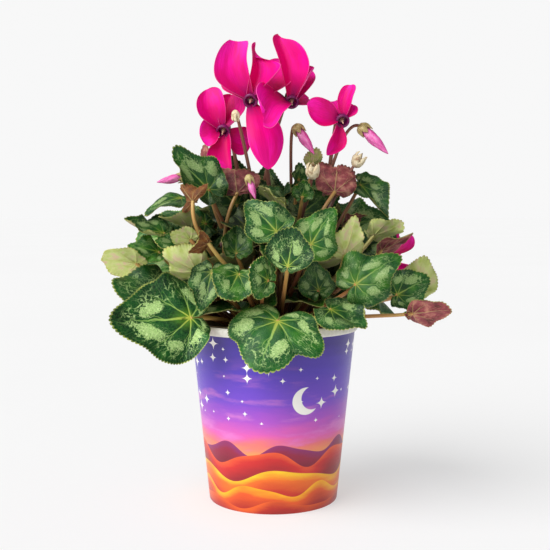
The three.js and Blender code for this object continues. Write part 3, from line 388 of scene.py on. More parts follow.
# Each ridge of hills: mean level, swell, number and turn of the broad swells round the cup, number and turn
# of the small ones, colours from the crest down
RIDGES = [
    (0.375, 0.030, 7, 0.4, 11, 1.9, [(140, 44, 112), (150, 28, 62), (120, 18, 44)]),
    (0.325, 0.042, 5, 2.2, 9, 0.3, [(240, 92, 44), (205, 36, 34), (150, 20, 34)]),
    (0.225, 0.034, 4, 0.9, 7, 2.6, [(255, 206, 30), (240, 112, 24), (196, 38, 24)]),
    (0.135, 0.030, 6, 3.4, 10, 0.8, [(255, 184, 16), (226, 84, 22), (168, 28, 20)]),
    (0.055, 0.022, 5, 1.1, 8, 2.0, [(232, 96, 26), (178, 34, 22), (128, 18, 18)]),
]
for mean, swell, swells, turn, ripples, ripple_turn, colours in RIDGES:
    broad = maths(tree, "SINE", stretch(tree, bearing, float(swells), turn))
    small = maths(tree, "SINE", stretch(tree, bearing, float(ripples), ripple_turn))
    crest = stretch(tree, broad, swell, mean)
    crest = stretch(tree, small, swell * RIPPLE_SHARE, crest)
    below = less(tree, crest, level)
    soft = stretch(tree, less(tree, haze, 0.5), RIDGE_HAZE, below)
    stops = [(place, *colour) for place, colour in zip((0.0, 0.35, 1.0), colours)]
    slope = ramp(tree, maths(tree, "DIVIDE", soft, RIDGE_DEPTH), stops)
    picture = blend(tree, fade(tree, below, 0.0, RIDGE_EDGE), picture, slope)
tree.links.new(picture, shader.inputs["Base Color"])
card_grain = grain(tree, own_place(tree), 900, 2)
tree.links.new(fade(tree, card_grain, 0.3, 0.7, 0.28, 0.38), shader.inputs["Roughness"])
relief(tree, shader, card_grain, 0.08, 0.0002)


def speckled(name, roughness, scale, detail, stops, strength, distance):
    """A finish with one grain all over, which picks the colour from the stops and raises a fine relief."""
    made, tree, shader = finish(name, roughness)
    speckle = grain(tree, own_place(tree), scale, detail)
    tree.links.new(ramp(tree, speckle, stops), shader.inputs["Base Color"])
    relief(tree, shader, speckle, strength, distance)
    return made, tree, shader, speckle


card_finish, *_ = speckled(
    "white_card", 0.55, 420, 4, [(0.3, 214, 212, 200), (0.7, 232, 230, 220)], 0.15, 0.0003)
cup_shell = turned(cup_profile, CUP_SIDES, cup_looks, lapped)
cup = piece("printed_cup", [cup_shell], [print_finish, card_finish], HARD_EDGE)
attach(cup, "root")
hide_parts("cup")


# Nursery pot
# A thin brown pot of moulded polypropylene that stands inside the cup; only its edge shows.
# Its floor has six drain holes.
SEAT_GAP = 0.3
POT_WALL = 0.9
POT_CLEARANCE = 0.6
POT_HEIGHT = 128.8
DRAINS = 6
DRAIN_RADIUS = 3.5
DRAIN_RING = 26
DRAIN_CELL = (14, 40)
DRAIN_SAMPLES = 8
pot_foot = CUP_FLOOR + SEAT_GAP


def pot_radius(height):
    """Outer radius of the pot: the card's inner face less a clearance."""
    return wall_radius(height) - CARD - POT_CLEARANCE


def drained_floor(height):
    """Rings of one face of the floor round each drain hole: each ring is a straight blend between
    the hole's circle and the edge of its cell, a sixth of the floor."""
    low, high = DRAIN_CELL
    side = np.arange(DRAIN_SAMPLES) / DRAIN_SAMPLES
    half = np.pi / DRAINS
    radius = np.concatenate([
        low + 0 * side, low + (high - low) * side, high + 0 * side, high + (low - high) * side,
    ])
    turn = np.concatenate([half * (2 * side - 1), half + 0 * side, half * (1 - 2 * side), -half + 0 * side])
    rings = []
    for k in range(DRAINS):
        middle = 2 * np.pi * k / DRAINS
        edge = np.stack([radius * np.cos(middle + turn), radius * np.sin(middle + turn)], axis=-1)
        centre = DRAIN_RING * np.array([math.cos(middle), math.sin(middle)])
        way = edge - centre
        hole = centre + DRAIN_RADIUS * way / np.linalg.norm(way, axis=1, keepdims=True)
        share = np.array([0, 0.3, 1])[:, None, None]
        flat = hole + (edge - hole) * share
        rings.append(np.concatenate([flat, np.full(flat.shape[:2] + (1,), height)], axis=-1))
    return rings


def pot_shell():
    """The wall is turned with as many sides as the drains' cells have, so that all edges meet."""
    low, high = DRAIN_CELL
    sides = DRAINS * DRAIN_SAMPLES
    bearing = 2 * np.pi * np.arange(sides) / sides - np.pi / DRAINS
    top = pot_foot + POT_WALL
    edge = pot_radius(POT_HEIGHT)
    wall_profile = [(high, pot_foot), (pot_radius(pot_foot) - 1, pot_foot)]
    wall_profile += [(pot_radius(z), z) for z in (pot_foot + 1, 30, 60, 90, POT_HEIGHT - 0.3)]
    wall_profile += [(edge - 0.3, POT_HEIGHT), (edge - POT_WALL + 0.2, POT_HEIGHT)]
    wall_profile += [(pot_radius(z) - POT_WALL, z) for z in (POT_HEIGHT - 0.3, 90, 60, 30, top + 1)]
    wall_profile += [(pot_radius(top) - POT_WALL - 1, top), (high, top)]
    sheets = []
    for profile in ([(0, pot_foot), (low, pot_foot)], wall_profile, [(low, top), (0, top)]):
        profile = np.array(profile, float)
        ring = np.stack([profile[:, :1] * np.cos(bearing), profile[:, :1] * np.sin(bearing),
                         profile[:, 1:] + 0 * bearing], axis=-1)
        sheets.append((ring, True))
    for below, above in zip(drained_floor(pot_foot), drained_floor(top)):
        sheets.append((np.concatenate([below[::-1], above]), True))
    points, quads, count = [], [], 0
    for sheet, wrap in sheets:
        points.append(sheet.reshape(-1, 3))
        quads.append(grid_quads(sheet.shape[0], sheet.shape[1], wrap) + count)
        count += points[-1].shape[0]
    return shell(np.concatenate(points), np.concatenate(quads), (0, 0, 0), (0, 0, 0))


plastic_finish, tree, shader, scuffs = speckled(
    "pot_plastic", 0.5, 160, 4, [(0.3, 58, 44, 28), (0.7, 86, 70, 44)], 0.12, 0.0003)
tree.links.new(fade(tree, scuffs, 0.3, 0.7, 0.42, 0.6), shader.inputs["Roughness"])

pot = piece("brown_nursery_pot", [pot_shell()], [plastic_finish], HARD_EDGE)
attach(pot, "root")
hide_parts("nursery_pot")


# Peat
# Dark fibrous potting peat that fills the nursery pot to a thumb's width below its edge.
# It is pressed in by hand, so its top is crumbly, and it beds the tuber.
SOIL_TOP = 113
TUBER_RADIUS = 30
TUBER_MIDDLE = 110
TUBER_RISE = 14
TUBER_DEPTH = 20
PEAT_SIDES = 150
LATTICE = 24
ROUND_FORM = 3.0


def lumps(points, spacing, seed):
    """Smooth random field of -1 to 1: random heights on a cubic lattice, blended by s*s*(3-2s)."""
    table = np.random.default_rng(seed).random((LATTICE, LATTICE, LATTICE))
    scaled = np.asarray(points, float) / spacing
    base = np.floor(scaled).astype(int)
    part = scaled - base
    part = part * part * (3 - 2 * part)
    total = 0
    for corner in itertools.product((0, 1), repeat=3):
        weight = np.prod(np.where(np.array(corner, bool), part, 1 - part), axis=-1)
        spot = (base + corner) % LATTICE
        total = total + weight * table[spot[..., 0], spot[..., 1], spot[..., 2]]
    return 2 * total - 1


def soil_radius(height):
    """Inner radius of the pot less a seat gap."""
    return pot_radius(height) - POT_WALL - SEAT_GAP


def crumbled(radius, height, bearing):
    """Crumbs of three sizes raise and lower the top; they fade out at the pot and at the tuber."""
    flat = np.stack([radius * np.cos(bearing), radius * np.sin(bearing), 0 * radius], axis=-1)
    rough = 0.8 * lumps(flat, 7, 1) + 0.7 * lumps(flat, 2.6, 2) + 0.35 * lumps(flat, 1.2, 3)
    on_top = (height > SOIL_TOP - 2.5) & (radius > TUBER_RADIUS + 0.4)
    by_pot = np.clip((soil_radius(SOIL_TOP) - radius) / 2, 0, 1)
    by_tuber = np.clip((radius - TUBER_RADIUS - SEAT_GAP) / 2, 0.2, 1)
    return radius, height + on_top * rough * (by_pot * by_tuber)


soil_foot = pot_foot + POT_WALL + SEAT_GAP
soil_profile = [(0, soil_foot), (soil_radius(soil_foot) - 0.8, soil_foot)]
soil_profile += [(soil_radius(z), z) for z in (soil_foot + 1, 40, 80, SOIL_TOP - 2)]
for r in np.linspace(soil_radius(SOIL_TOP) - 0.4, TUBER_RADIUS + 0.5, 34):
    soil_profile.append((r, SOIL_TOP + 0.4 - 1.4 * max(0, (r - 50) / 6)))
bowl_radius = TUBER_RADIUS + SEAT_GAP
bowl_depth = TUBER_DEPTH + SEAT_GAP
for a in np.linspace(0, np.pi / 2, 9):
    soil_profile.append((bowl_radius * math.cos(a), TUBER_MIDDLE - bowl_depth * math.sin(a)))
soil_profile[-1] = (0, TUBER_MIDDLE - TUBER_DEPTH - SEAT_GAP)

peat_finish, tree, shader = finish("peat", 0.95)
crumbs = grain(tree, own_place(tree), 520, 6, 0.65)
clods = grain(tree, own_place(tree), 90, 3)
dark = ramp(tree, crumbs, [(0.32, 20, 13, 8), (0.5, 50, 34, 22), (0.72, 96, 70, 44)])
crumbly = blend(tree, times(tree, clods, 0.6), dark, paint(30, 20, 13))
tree.links.new(crumbly, shader.inputs["Base Color"])
relief(tree, shader, crumbs, 0.9, 0.0012)

peat = piece("potting_peat", [turned(soil_profile, PEAT_SIDES, 0, crumbled)], [peat_finish], ROUND_FORM)
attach(peat, "root")
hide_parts("soil")


# How the plant grows
# Every leaf, flower, bud and husk has its place in the air and a stalk of its own from the tuber's crown.
# Leaves slide apart from one another, and the stalks bend away from each other and from the blades.
PALE, PURPLE, BROWN = 0, 1, 2
CROWN_RADIUS = 25.5
STALK_SOCKET = 3.5
LEAF_STALK = (1.6, 1.25)
FLOWER_STALK = (1.75, 1.35)
FLOWER_BACK = -13
FLOWER_HOOK = 18
BUD_STALK = (1.5, 1.1)
BUD_BACK = -1
HUSK_HOOK = 14
RIM_REACH = 35
RIM_CLEARANCE = 5
GOLDEN_ANGLE = math.pi * (3 - math.sqrt(5))
NOTCH = 0.13

# Leaves: number of the node, stalk end, tip, way the upper face looks, fold, curl across, curl along,
# wave, breadth, how far the tip is drawn out, how far the base is drawn in, colour of the underside
LEAVES = [
    (1, (3, -68, 135), (-10, -88, 108), (0, -0.75, 0.66), 0.02, -0.25, -0.25, 0.05, 1.45, 0.35, 0.0, PALE),
    (2, (-55, -56, 136), (-103, -74, 135), (-0.15, -0.93, 0.3), 0.03, -0.35, -0.2, 0.05, 0.88, 0.3, 0.3,
     PURPLE),
    (3, (-66, -38, 152), (-104, -46, 169), (-0.3, -0.6, 0.7), 0.03, -0.3, -0.2, 0.06, 1.0, 0.35, 0.1, PALE),
    (4, (-94, -26, 171), (-118, -33, 175), (-0.1, 0.5, 0.85), 0.05, 0.2, 0.3, 0.04, 0.9, 0.1, 0.2, PALE),
    (5, (-51, -54, 166), (-73, -63, 176), (0.2, 0.85, 0.45), 0.05, 0.3, 0.1, 0.04, 0.9, 0.2, 0.25, PALE),
    (5, (-65, -36, 180), (-80, -44, 185), (-0.3, -0.7, 0.65), 0.2, 0.2, 0, 0.05, 0.9, 0.4, 0.1, PALE),
    (6, (-55, -52, 188), (-67, -58, 192), (0, 0.8, 0.5), 0.05, 0.4, 0.2, 0.04, 0.9, 0.1, 0.2, PALE),
    (7, (-79, -16, 187), (-104, -24, 192), (-0.3, -0.5, 0.8), 0.25, -0.2, -0.1, 0.08, 0.95, 0.5, 0.1, PALE),
    (8, (-81, -30, 172), (-99, -38, 178), (-0.4, -0.65, 0.6), 0.1, -0.3, -0.2, 0.06, 0.9, 0.4, 0.1, PALE),
    (9, (-66, -4, 216), (-91, -14, 212), (-0.2, -0.5, 0.85), 0.15, -0.3, -0.3, 0.09, 0.85, 0.5, 0.1, PURPLE),
    (10, (-47, -24, 222), (-71, -20, 247), (0.1, -0.85, 0.5), 0.5, 0.1, -0.1, 0.05, 0.74, 0.75, 0.1, PALE),
    (11, (-47, 6, 235), (-51, 8, 254), (0.5, 0.75, 0.4), 0.5, 0.5, 0, 0.05, 0.85, 0.4, 0.4, PURPLE),
    (12, (-25, -21, 221), (-28, -13, 240), (0, 0.8, 0.5), 0.15, 0.5, 0.2, 0.08, 1.3, 0.1, 0.6, PURPLE),
    (13, (-52, -36, 210), (-61, -30, 221), (-0.2, 0.75, 0.6), 0.3, 0.3, 0.1, 0.08, 1.05, 0.4, 0.5, BROWN),
    (7, (-60, -22, 200), (-80, -34, 205), (-0.2, 0.1, 1), 0.4, 0.9, 0.2, 0.06, 0.8, 0.4, 0.2, PALE),
    (15, (-39, -64, 185), (-51, -68, 179), (-0.5, 0.4, 0.75), 0.3, 0.5, 0, 0.05, 0.95, 0.5, 0.5, BROWN),
    (16, (-25, -48, 179), (-25, -40, 195), (0.1, -0.8, 0.5), 0.2, 0.6, 0.1, 0.05, 1.1, 0.3, 0.2, PALE),
    (17, (2, -64, 193), (-17, -55, 214), (-0.1, -0.75, 0.65), 0.05, -0.35, -0.15, 0.06, 0.9, 0.5, 0.35, PALE),
    (18, (25, -64, 187), (40, -54, 211), (0.1, -0.8, 0.55), 0.2, -0.1, -0.1, 0.06, 0.85, 0.7, 0.1, PALE),
    (19, (9, -76, 170), (13, -70, 193), (0, -0.85, 0.5), 0.05, -0.35, -0.3, 0.06, 1.0, 0.1, 0.5, PALE),
    (20, (-6, -70, 161), (-15, -82, 169), (-0.2, -0.85, 0.45), 0.05, -0.5, -0.4, 0.05, 1.3, 0.1, 0.2, PALE),
    (21, (-21, -60, 163), (-29, -74, 146), (0.15, -0.85, 0.45), 0.2, 0.5, 0.3, 0.06, 1.05, 0.2, 0.2, PALE),
    (22, (-40, -57, 172), (-45, -64, 147), (-0.1, -0.85, 0.5), 0.1, 0.3, 0, 0.05, 0.85, 0.5, 0.2, PALE),
    (23, (30, -46, 154), (26, -50, 173), (-0.2, -0.9, 0.3), 0.1, 0.2, 0, 0.05, 1.0, 0.5, 0.2, PALE),
    (24, (55, -58, 157), (81, -62, 177), (0.05, -0.85, 0.5), 0.1, -0.35, -0.2, 0.06, 0.95, 0.75, 0.1, PALE),
    (25, (37, -64, 141), (57, -77, 130), (0.2, -0.55, 0.8), 0.05, -0.35, -0.3, 0.06, 1.0, 0.3, 0.1, PALE),
    (26, (48, -44, 177), (56, -48, 201), (-0.3, 0.8, 0.5), 0.1, 0.3, 0.1, 0.04, 1.0, 0.6, 0.45, PALE),
    (27, (52, -8, 199), (65, -10, 205), (0, 0.6, 0.8), 0.2, 0.3, 0, 0.05, 0.85, 0.3, 0.3, PURPLE),
    (28, (63, 8, 226), (80, -6, 205), (0.3, -0.6, 0.75), 0.4, -0.3, -0.2, 0.05, 0.62, 0.7, 0.2, PALE),
    (27, (70, -22, 190), (90, -26, 197), (0, 0.75, 0.65), 0.1, 0.4, 0.1, 0.05, 0.8, 0.2, 0.3, PALE),
    (29, (75, -26, 180), (95, -32, 190), (0, 0.6, 0.8), 0.3, 0.5, 0.1, 0.06, 0.75, 0.75, 0.5, PURPLE),
    (30, (100, -16, 150), (104, -20, 174), (0.3, 0.8, 0.3), 0.1, 0.4, 0, 0.05, 0.9, 0.3, 0.3, PALE),
    (30, (86, -30, 150), (108, -26, 162), (0.2, -0.8, 0.5), 0.1, 0.1, 0, 0.05, 0.9, 0.3, 0.1, PALE),
    (31, (94, -46, 138), (119, -52, 142), (0.1, 0.7, 0.65), 0.1, 0.3, 0, 0.05, 0.95, 0.85, 0.35, PURPLE),
    (32, (43, -14, 220), (46, -4, 243), (0.15, 0.9, 0.35), 0.15, 0.4, 0.1, 0.05, 1.0, 0.1, 0.6, PURPLE),
    (33, (18, -6, 230), (19, -8, 241), (0.2, -0.8, 0.5), 0.4, 0.7, 0, 0.04, 0.9, 0.2, 0.1, PALE),
    (33, (28, 2, 241), (32, 0, 252), (0.1, 0.8, 0.5), 0.4, 0.7, 0, 0.04, 0.9, 0.2, 0.1, PALE),
    (34, (20, -30, 217), (22, -34, 228), (0, -0.85, 0.5), 0.1, -0.3, 0, 0.05, 0.95, 0.2, 0.1, PALE),
    (34, (4, -26, 212), (-8, -28, 224), (0.3, -0.3, 0.9), 0.4, 0.7, 0, 0.06, 0.95, 0.2, 0.2, PALE),
]

# Rings of leaves on the far side: count, first and last bearing, reach and height of the stalk end,
# reach and height of the tip, how far the face leans out. Their form is drawn: fold, curl across, curl
# along, wave and breadth, each as its least value and its spread.
BACK_NODES = 5
BACK_POINT = 0.45
BACK_NARROW = 0.1
BACK_FORM = [(0.05, 0.15), (-0.5, 0.5), (-0.5, 0.4), (0.04, 0.04), (1, 0.15)]
BACK_RINGS = [
    (6, 16, 164, (62, 153), (96, 132), 0.8),
    (5, 36, 144, (56, 187), (90, 171), 0.7),
    (3, 48, 132, (42, 214), (72, 206), 0.6),
]

# Flowers: node, mouth, way the mouth looks, petals as tip, way the inner face looks, width, cup, bow, twist
FLOWERS = [
    ("flower_1", (-16, -15, 283), (-0.1, -0.85, -0.4), [
        ((-32, -14, 322), (0.2, -0.95, 0.1), 27, 0.5, 0.06, 0.3),
        ((-8, -3, 319), (-0.3, -0.9, 0.1), 20, 0.9, 0.1, -0.4),
        ((7, 15, 314), (0, -0.9, 0.3), 23, 0.3, 0.05, 0.2),
        ((-5, -34, 235), (0.1, -0.95, -0.2), 26, -0.5, 0.12, 0.2),
        ((-34, 17, 307), (0.1, -0.9, 0.4), 18, 0.4, 0.05, 0.2),
    ]),
    ("flower_2", (-36, 0, 263), (-0.1, -0.8, -0.55), [
        ((-49, 3, 293), (0.3, -0.95, 0), 25, 0.5, 0.08, 0.2),
        ((-30, 12, 292), (0.1, -0.95, 0.1), 22, 0.3, 0.05, 0.2),
        ((-26, -8, 239), (-0.2, -0.95, 0), 19, 0.8, 0.08, -0.3),
        ((-54, -4, 262), (0.1, -0.9, 0.35), 17, 0.4, 0.08, 0.2),
        ((-14, 12, 256), (-0.3, -0.9, 0.1), 18, 0.4, 0.05, 0.2),
    ]),
    ("flower_3", (13, -7, 283), (0.05, -0.8, -0.55), [
        ((8, -4, 331), (0.2, -0.95, 0.1), 26, 0.5, 0.06, 0.3),
        ((27, 8, 308), (-0.1, -0.98, 0.1), 17, 0.4, 0.06, -0.2),
        ((31, -8, 306), (-0.7, -0.6, 0.1), 18, 0.7, 0.06, 0.1),
        ((-9, -38, 271), (0.1, -0.9, 0.35), 21, 0.4, 0.06, 0.1),
        ((34, 16, 288), (-0.2, -0.9, 0.3), 20, 0.4, 0.05, 0.2),
    ]),
    ("flower_4", (49, -5, 270), (0.1, -0.85, -0.5), [
        ((24, -12, 279), (0.1, -0.9, 0.35), 20, 0.4, 0.06, 0.1),
        ((56, -4, 297), (-0.3, -0.9, 0.1), 17, 0.6, 0.06, 0.2),
        ((37, -10, 248), (0.2, -0.95, 0), 16, 0.8, 0.06, 0.1),
        ((61, 0, 288), (-0.3, -0.9, 0.1), 12, 0.5, 0.06, 0.1),
        ((42, 14, 294), (0.1, -0.9, 0.2), 17, 0.4, 0.06, 0.1),
    ]),
    ("flower_5", (88, 12, 172), (0.9, -0.2, -0.35), [
        ((103, 0, 164), (0.3, -0.6, -0.7), 15, 0.5, 0.06, 0.1),
        ((98, -2, 190), (0.6, -0.7, 0.3), 15, 0.5, 0.06, 0.1),
        ((90, 26, 194), (0.8, 0.3, 0.4), 15, 0.5, 0.06, 0.1),
        ((94, 36, 168), (0.8, 0.4, -0.2), 15, 0.5, 0.06, 0.1),
        ((90, 14, 146), (0.9, -0.1, -0.3), 15, 0.5, 0.06, 0.1),
    ]),
]

# Buds: node, place of the husk, way the bud points, length, radius, length of the hook above it
BUDS = [
    ("bud_1", (65, 2, 265), (0.66, -0.2, -0.7), 25, 4.2, 26),
    ("bud_2", (18, -4, 264), (0.5, -0.25, -0.8), 21, 3.8, 22),
    ("bud_3", (-66, 2, 231), (-0.96, -0.2, -0.2), 18, 3.2, 18),
    ("bud_4", (-16, -33, 227), (0.3, -0.15, -0.94), 13, 2.6, 10),
]

# Spent flowers keep their husk on the stalk: node, place, way it points, radius
SPENT = [
    ("spent_1", (27, -22, 232), (0.1, -0.3, 0.95), 4.2),
    ("spent_2", (59, -2, 241), (0.6, -0.2, 0.75), 4.2),
    ("spent_3", (-26, -24, 273), (0.1, -0.4, -0.9), 3.6),
]


def unit(vector):
    """The same direction with length 1; a zero vector stays as it is."""
    vector = np.asarray(vector, float)
    return vector / (np.linalg.norm(vector) or 1)


def clamped(vector, most):
    """The same direction, no longer than most."""
    length = np.linalg.norm(vector)
    return vector if length <= most else vector * (most / length)


def mulberry(seed):
    """Repeatable random numbers of 0 to 1, by mixing a 32-bit counter."""
    whole = 0xFFFFFFFF
    state = seed
    while True:
        state = (state + 0x6D2B79F5) & whole
        mixed = ((state ^ (state >> 15)) * (1 | state)) & whole
        mixed = (mixed + (mixed ^ (mixed >> 7)) * (61 | mixed)) & whole ^ mixed
        yield ((mixed ^ (mixed >> 14)) & whole) / 4294967296


def frame_of(start, tip, face):
    """Three axes as rows: across, towards the tip, and out of the upper face."""
    along = unit(np.subtract(tip, start))
    out = unit(face - np.dot(face, along) * along)
    return np.array([unit(np.cross(along, out)), along, out])


def outline(bearing):
    """Distance from the stalk to the margin as a share of the length: a round body, a blunt tip,
    two lobes behind the stalk and a notch between them, each a bell curve of the bearing."""
    away = np.abs(bearing)
    tip = 0.11 * np.exp(-((away / 0.4) ** 2))
    body = 0.62 + 0.27 * np.cos(bearing)
    lobe = 0.06 * np.exp(-(((away - 2.5) / 0.4) ** 2))
    notch = 1 - 0.5 * np.exp(-(((np.pi - away) / 0.3) ** 2))
    return (body + tip + lobe) * notch


SHOULDER_LOSS = 0.24
SHOULDER_BEARING = 0.55
SHOULDER_SPAN = 0.35
BASE_FROM = 1.2
BASE_TO = 2.3


def margin_reach(leaf, bearing):
    """The margin of one leaf: a drawn-out tip takes away its shoulders in a bell curve, and a
    drawn-in base its lobes in a smooth step."""
    away = np.abs(bearing)
    shoulder = np.exp(-(((away - SHOULDER_BEARING) / SHOULDER_SPAN) ** 2))
    behind = np.clip((away - BASE_FROM) / (BASE_TO - BASE_FROM), 0, 1)
    behind = behind * behind * (3 - 2 * behind)
    return outline(bearing) * (1 - SHOULDER_LOSS * leaf.point * shoulder) * (1 - leaf.narrow * behind)


def blade_points(leaf, bearing, share, lift, edge=None):
    """Points of a leaf: fold along the midrib, waves at the margin, then a roll across and one along."""
    plain = outline(bearing)
    edge = plain if edge is None else edge
    reach = leaf.size * edge * share
    soft = 0.12 * leaf.size
    x = leaf.broad * reach * np.sin(bearing)
    y = reach * np.cos(bearing)
    z = leaf.fold * (np.sqrt(x * x + soft * soft) - soft) + lift
    swing = leaf.wave * leaf.size * share**2 * (edge / plain) ** 2
    z = z + swing * np.cos(leaf.waves * bearing + leaf.phase)
    across = leaf.across / leaf.size
    if abs(across) > 1e-6:
        arm = 1 / across - z
        z = 1 / across - arm * np.cos(across * x)
        x = arm * np.sin(across * x)
    along = leaf.along / leaf.size
    if abs(along) > 1e-6:
        arm = 1 / along - z
        z = 1 / along - arm * np.cos(along * y)
        y = arm * np.sin(along * y)
    return leaf.foot + np.stack([x, y, z], axis=-1) @ leaf.axes


def new_leaf(node, number, turn, foot, tip, face, form, point, narrow, under):
    """A leaf from its two ends, its upper face and its form. Number and turn set how its waves lie."""
    foot, tip, face = (np.array(place, float) for place in (foot, tip, face))
    fold, across, along, wave, broad = form
    return SimpleNamespace(
        node=node, foot=foot, fold=fold, across=across, along=along, wave=wave, broad=broad, point=point,
        narrow=narrow, under=under, waves=3 + number % 3, phase=number * turn, held=False,
        size=np.linalg.norm(tip - foot), axes=frame_of(foot, tip, face),
    )


def drawn(draw, form):
    """One random value for each (least, spread) of a form."""
    return [least + spread * next(draw) for least, spread in form]


leaves = []
for number, (node_number, start, tip, face, *form, point, narrow, under) in enumerate(LEAVES):
    name = f"leaf_{node_number:02d}"
    leaves.append(new_leaf(name, number, 1.7, start, tip, face, form, point, narrow, under))
    leaves[-1].held = node_number in (1, 2)
draw = mulberry(20)
far_leaves = []
for count, first, last, foot_place, tip_place, lean in BACK_RINGS:
    for i in range(count):
        bearing = math.radians(first + (last - first) / (count - 1) * i + 6 * (next(draw) - 0.5))
        rise = 8 * (next(draw) - 0.5)
        side = np.array([math.cos(bearing), math.sin(bearing), 0])
        aim = bearing + 0.35 * (next(draw) - 0.5)
        tip = (tip_place[0] * math.cos(aim), tip_place[0] * math.sin(aim),
               tip_place[1] + rise + 8 * (next(draw) - 0.5))
        stalk_end = side * foot_place[0] + (0, 0, foot_place[1] + rise)
        number = len(far_leaves)
        far_leaves.append(new_leaf(
            "", number, 2.1, stalk_end, tip, side * lean + (0, 0, 1), drawn(draw, BACK_FORM),
            BACK_POINT, BACK_NARROW, PALE if number % 3 else PURPLE,
        ))
        far_leaves[-1].bearing = bearing
for place, leaf in enumerate(sorted(far_leaves, key=lambda leaf: leaf.bearing)):
    leaf.node = f"leaf_back_{1 + BACK_NODES * place // len(far_leaves)}"
leaves += far_leaves

SETTLE_ROUNDS = 25
SETTLE_NEAR = 6
SETTLE_STEP = 2.4
SETTLE_LIMIT = 7
SETTLE_SHARE = 0.2
SETTLE_EASE = 0.97
HEART = np.array([0, 0, 135])


def settle(leaves):
    """Pairs of leaves slide apart along the mean of their outward ways, a fifth of what is missing at
    a time. Held leaves stay where they are."""
    bearings = (np.pi - NOTCH) * (2 * np.arange(14) / 13 - 1)
    for leaf in leaves:
        samples = [blade_points(leaf, 0 * bearings[:1], 0, 0)]
        samples += [blade_points(leaf, bearings, share, 0) for share in (0.35, 0.68, 1)]
        leaf.samples = np.concatenate(samples)
        leaf.middle = leaf.samples.mean(axis=0)
        leaf.outward = leaf.axes[2] * (1 if leaf.axes[2] @ (leaf.middle - HEART) >= 0 else -1)
        leaf.shift = np.zeros(3)
    pairs = []
    for a, b in itertools.combinations(leaves, 2):
        if a.held and b.held or np.linalg.norm(a.middle - b.middle) > a.size + b.size + 12:
            continue
        along = unit(a.outward + b.outward)
        order = np.sign((a.middle - b.middle) @ along) or 1
        pairs.append((a, b, along * order, a.samples[:, None] - b.samples[None]))
    for _ in range(SETTLE_ROUNDS):
        for a, b, along, between in pairs:
            apart = between + (a.shift - b.shift)
            near = np.einsum("ijk,ijk->ij", apart, apart) <= SETTLE_NEAR**2
            if not near.any():
                continue
            worst = max(0, np.max(SETTLE_STEP - (apart @ along)[near]))
            if not a.held:
                a.shift = a.shift + along * worst * SETTLE_SHARE
            if not b.held:
                b.shift = b.shift - along * worst * SETTLE_SHARE
        for leaf in leaves:
            leaf.shift = clamped(leaf.shift * SETTLE_EASE, SETTLE_LIMIT)
    for leaf in leaves:
        leaf.foot = leaf.foot + leaf.shift
        leaf.samples = leaf.samples + leaf.shift


settle(leaves)
stalks = {}
for leaf in leaves:
    if leaf.node in stalks:
        stalks[leaf.node].heads.append(leaf)
    else:
        stalks[leaf.node] = SimpleNamespace(heading=leaf.foot, heads=[leaf], radii=LEAF_STALK)
hooked = [(name, mouth, axis, FLOWER_STALK, FLOWER_BACK, FLOWER_HOOK) for name, mouth, axis, _ in FLOWERS]
hooked += [(name, place, axis, BUD_STALK, BUD_BACK, hook) for name, place, axis, _, _, hook in BUDS]
hooked += [(name, place, axis, BUD_STALK, BUD_BACK, HUSK_HOOK) for name, place, axis, _ in SPENT]
for name, place, axis, radii, back, hook in hooked:
    stalks[name] = SimpleNamespace(heading=np.array(place, float), axis=unit(axis), heads=[], radii=radii,
                                   back=back, hook=hook)


def plant(stalks):
    """The crown's spots lie on a sunflower spiral. The stalks that lean most take the outer ones,
    each the free spot nearest to its own bearing."""
    count = len(stalks)
    lean = [math.hypot(s.heading[0], s.heading[1]) / (s.heading[2] - SOIL_TOP) for s in stalks]
    radius = CROWN_RADIUS * np.sqrt((np.arange(count) + 0.5) / count)
    turn = np.arange(count) * GOLDEN_ANGLE
    free = np.stack([radius * np.cos(turn), radius * np.sin(turn)], axis=-1)
    for place, index in enumerate(sorted(range(count), key=lambda i: -lean[i])):
        stalk = stalks[index]
        wanted = CROWN_RADIUS * math.sqrt((count - place - 0.5) / count)
        bearing = math.atan2(stalk.heading[1], stalk.heading[0])
        wish = np.array([wanted * math.cos(bearing), wanted * math.sin(bearing)])
        nearest = int(np.argmin(np.linalg.norm(free - wish, axis=1)))
        spot = free[nearest]
        free = np.delete(free, nearest, axis=0)
        crown = TUBER_MIDDLE + TUBER_RISE * math.sqrt(max(0, 1 - spot @ spot / TUBER_RADIUS**2))
        stalk.root = np.array([spot[0], spot[1], crown])


def start_slope(root, head):
    """A stalk leaves the crown leaning out with its foot, mostly upwards, and partly to its head."""
    lean = np.array([root[0], root[1], 0]) / TUBER_RADIUS
    return unit(0.55 * lean + (0, 0, 0.75) + 0.5 * unit(head - root))


def leaf_curve(stalk, leaf):
    """Four control points from the socket to the leaf, kept above the rim where they reach over it."""
    start = start_slope(stalk.root, leaf.foot)
    root = stalk.root - start * STALK_SOCKET
    length = np.linalg.norm(leaf.foot - root)
    heading = unit(leaf.foot - root)
    arrive = unit(heading + leaf.axes[2] * max(0.2, 0.35 - heading @ leaf.axes[2]))
    second = leaf.foot - arrive * length * 0.32
    if math.hypot(second[0], second[1]) > RIM_REACH:
        second[2] = max(second[2], POT_HEIGHT + RIM_CLEARANCE)
    return np.array([root, root + start * length * 0.38, second, leaf.foot])


def head_curve(stalk):
    """Four control points from the socket to a hook behind the flower, bud or husk."""
    head = stalk.heading + stalk.axis * stalk.back
    start = start_slope(stalk.root, head)
    root = stalk.root - start * STALK_SOCKET
    length = np.linalg.norm(head - root)
    return np.array([root, root + start * length * 0.5, head - stalk.axis * stalk.hook, head])


def along_curve(curve, t):
    """Cubic curve: control points weighted by (1-t)^3, 3(1-t)^2 t, 3(1-t) t^2 and t^3."""
    t = np.asarray(t, float)
    weights = np.stack([(1 - t) ** 3, 3 * (1 - t) ** 2 * t, 3 * (1 - t) * t**2, t**3], axis=-1)
    return weights @ curve


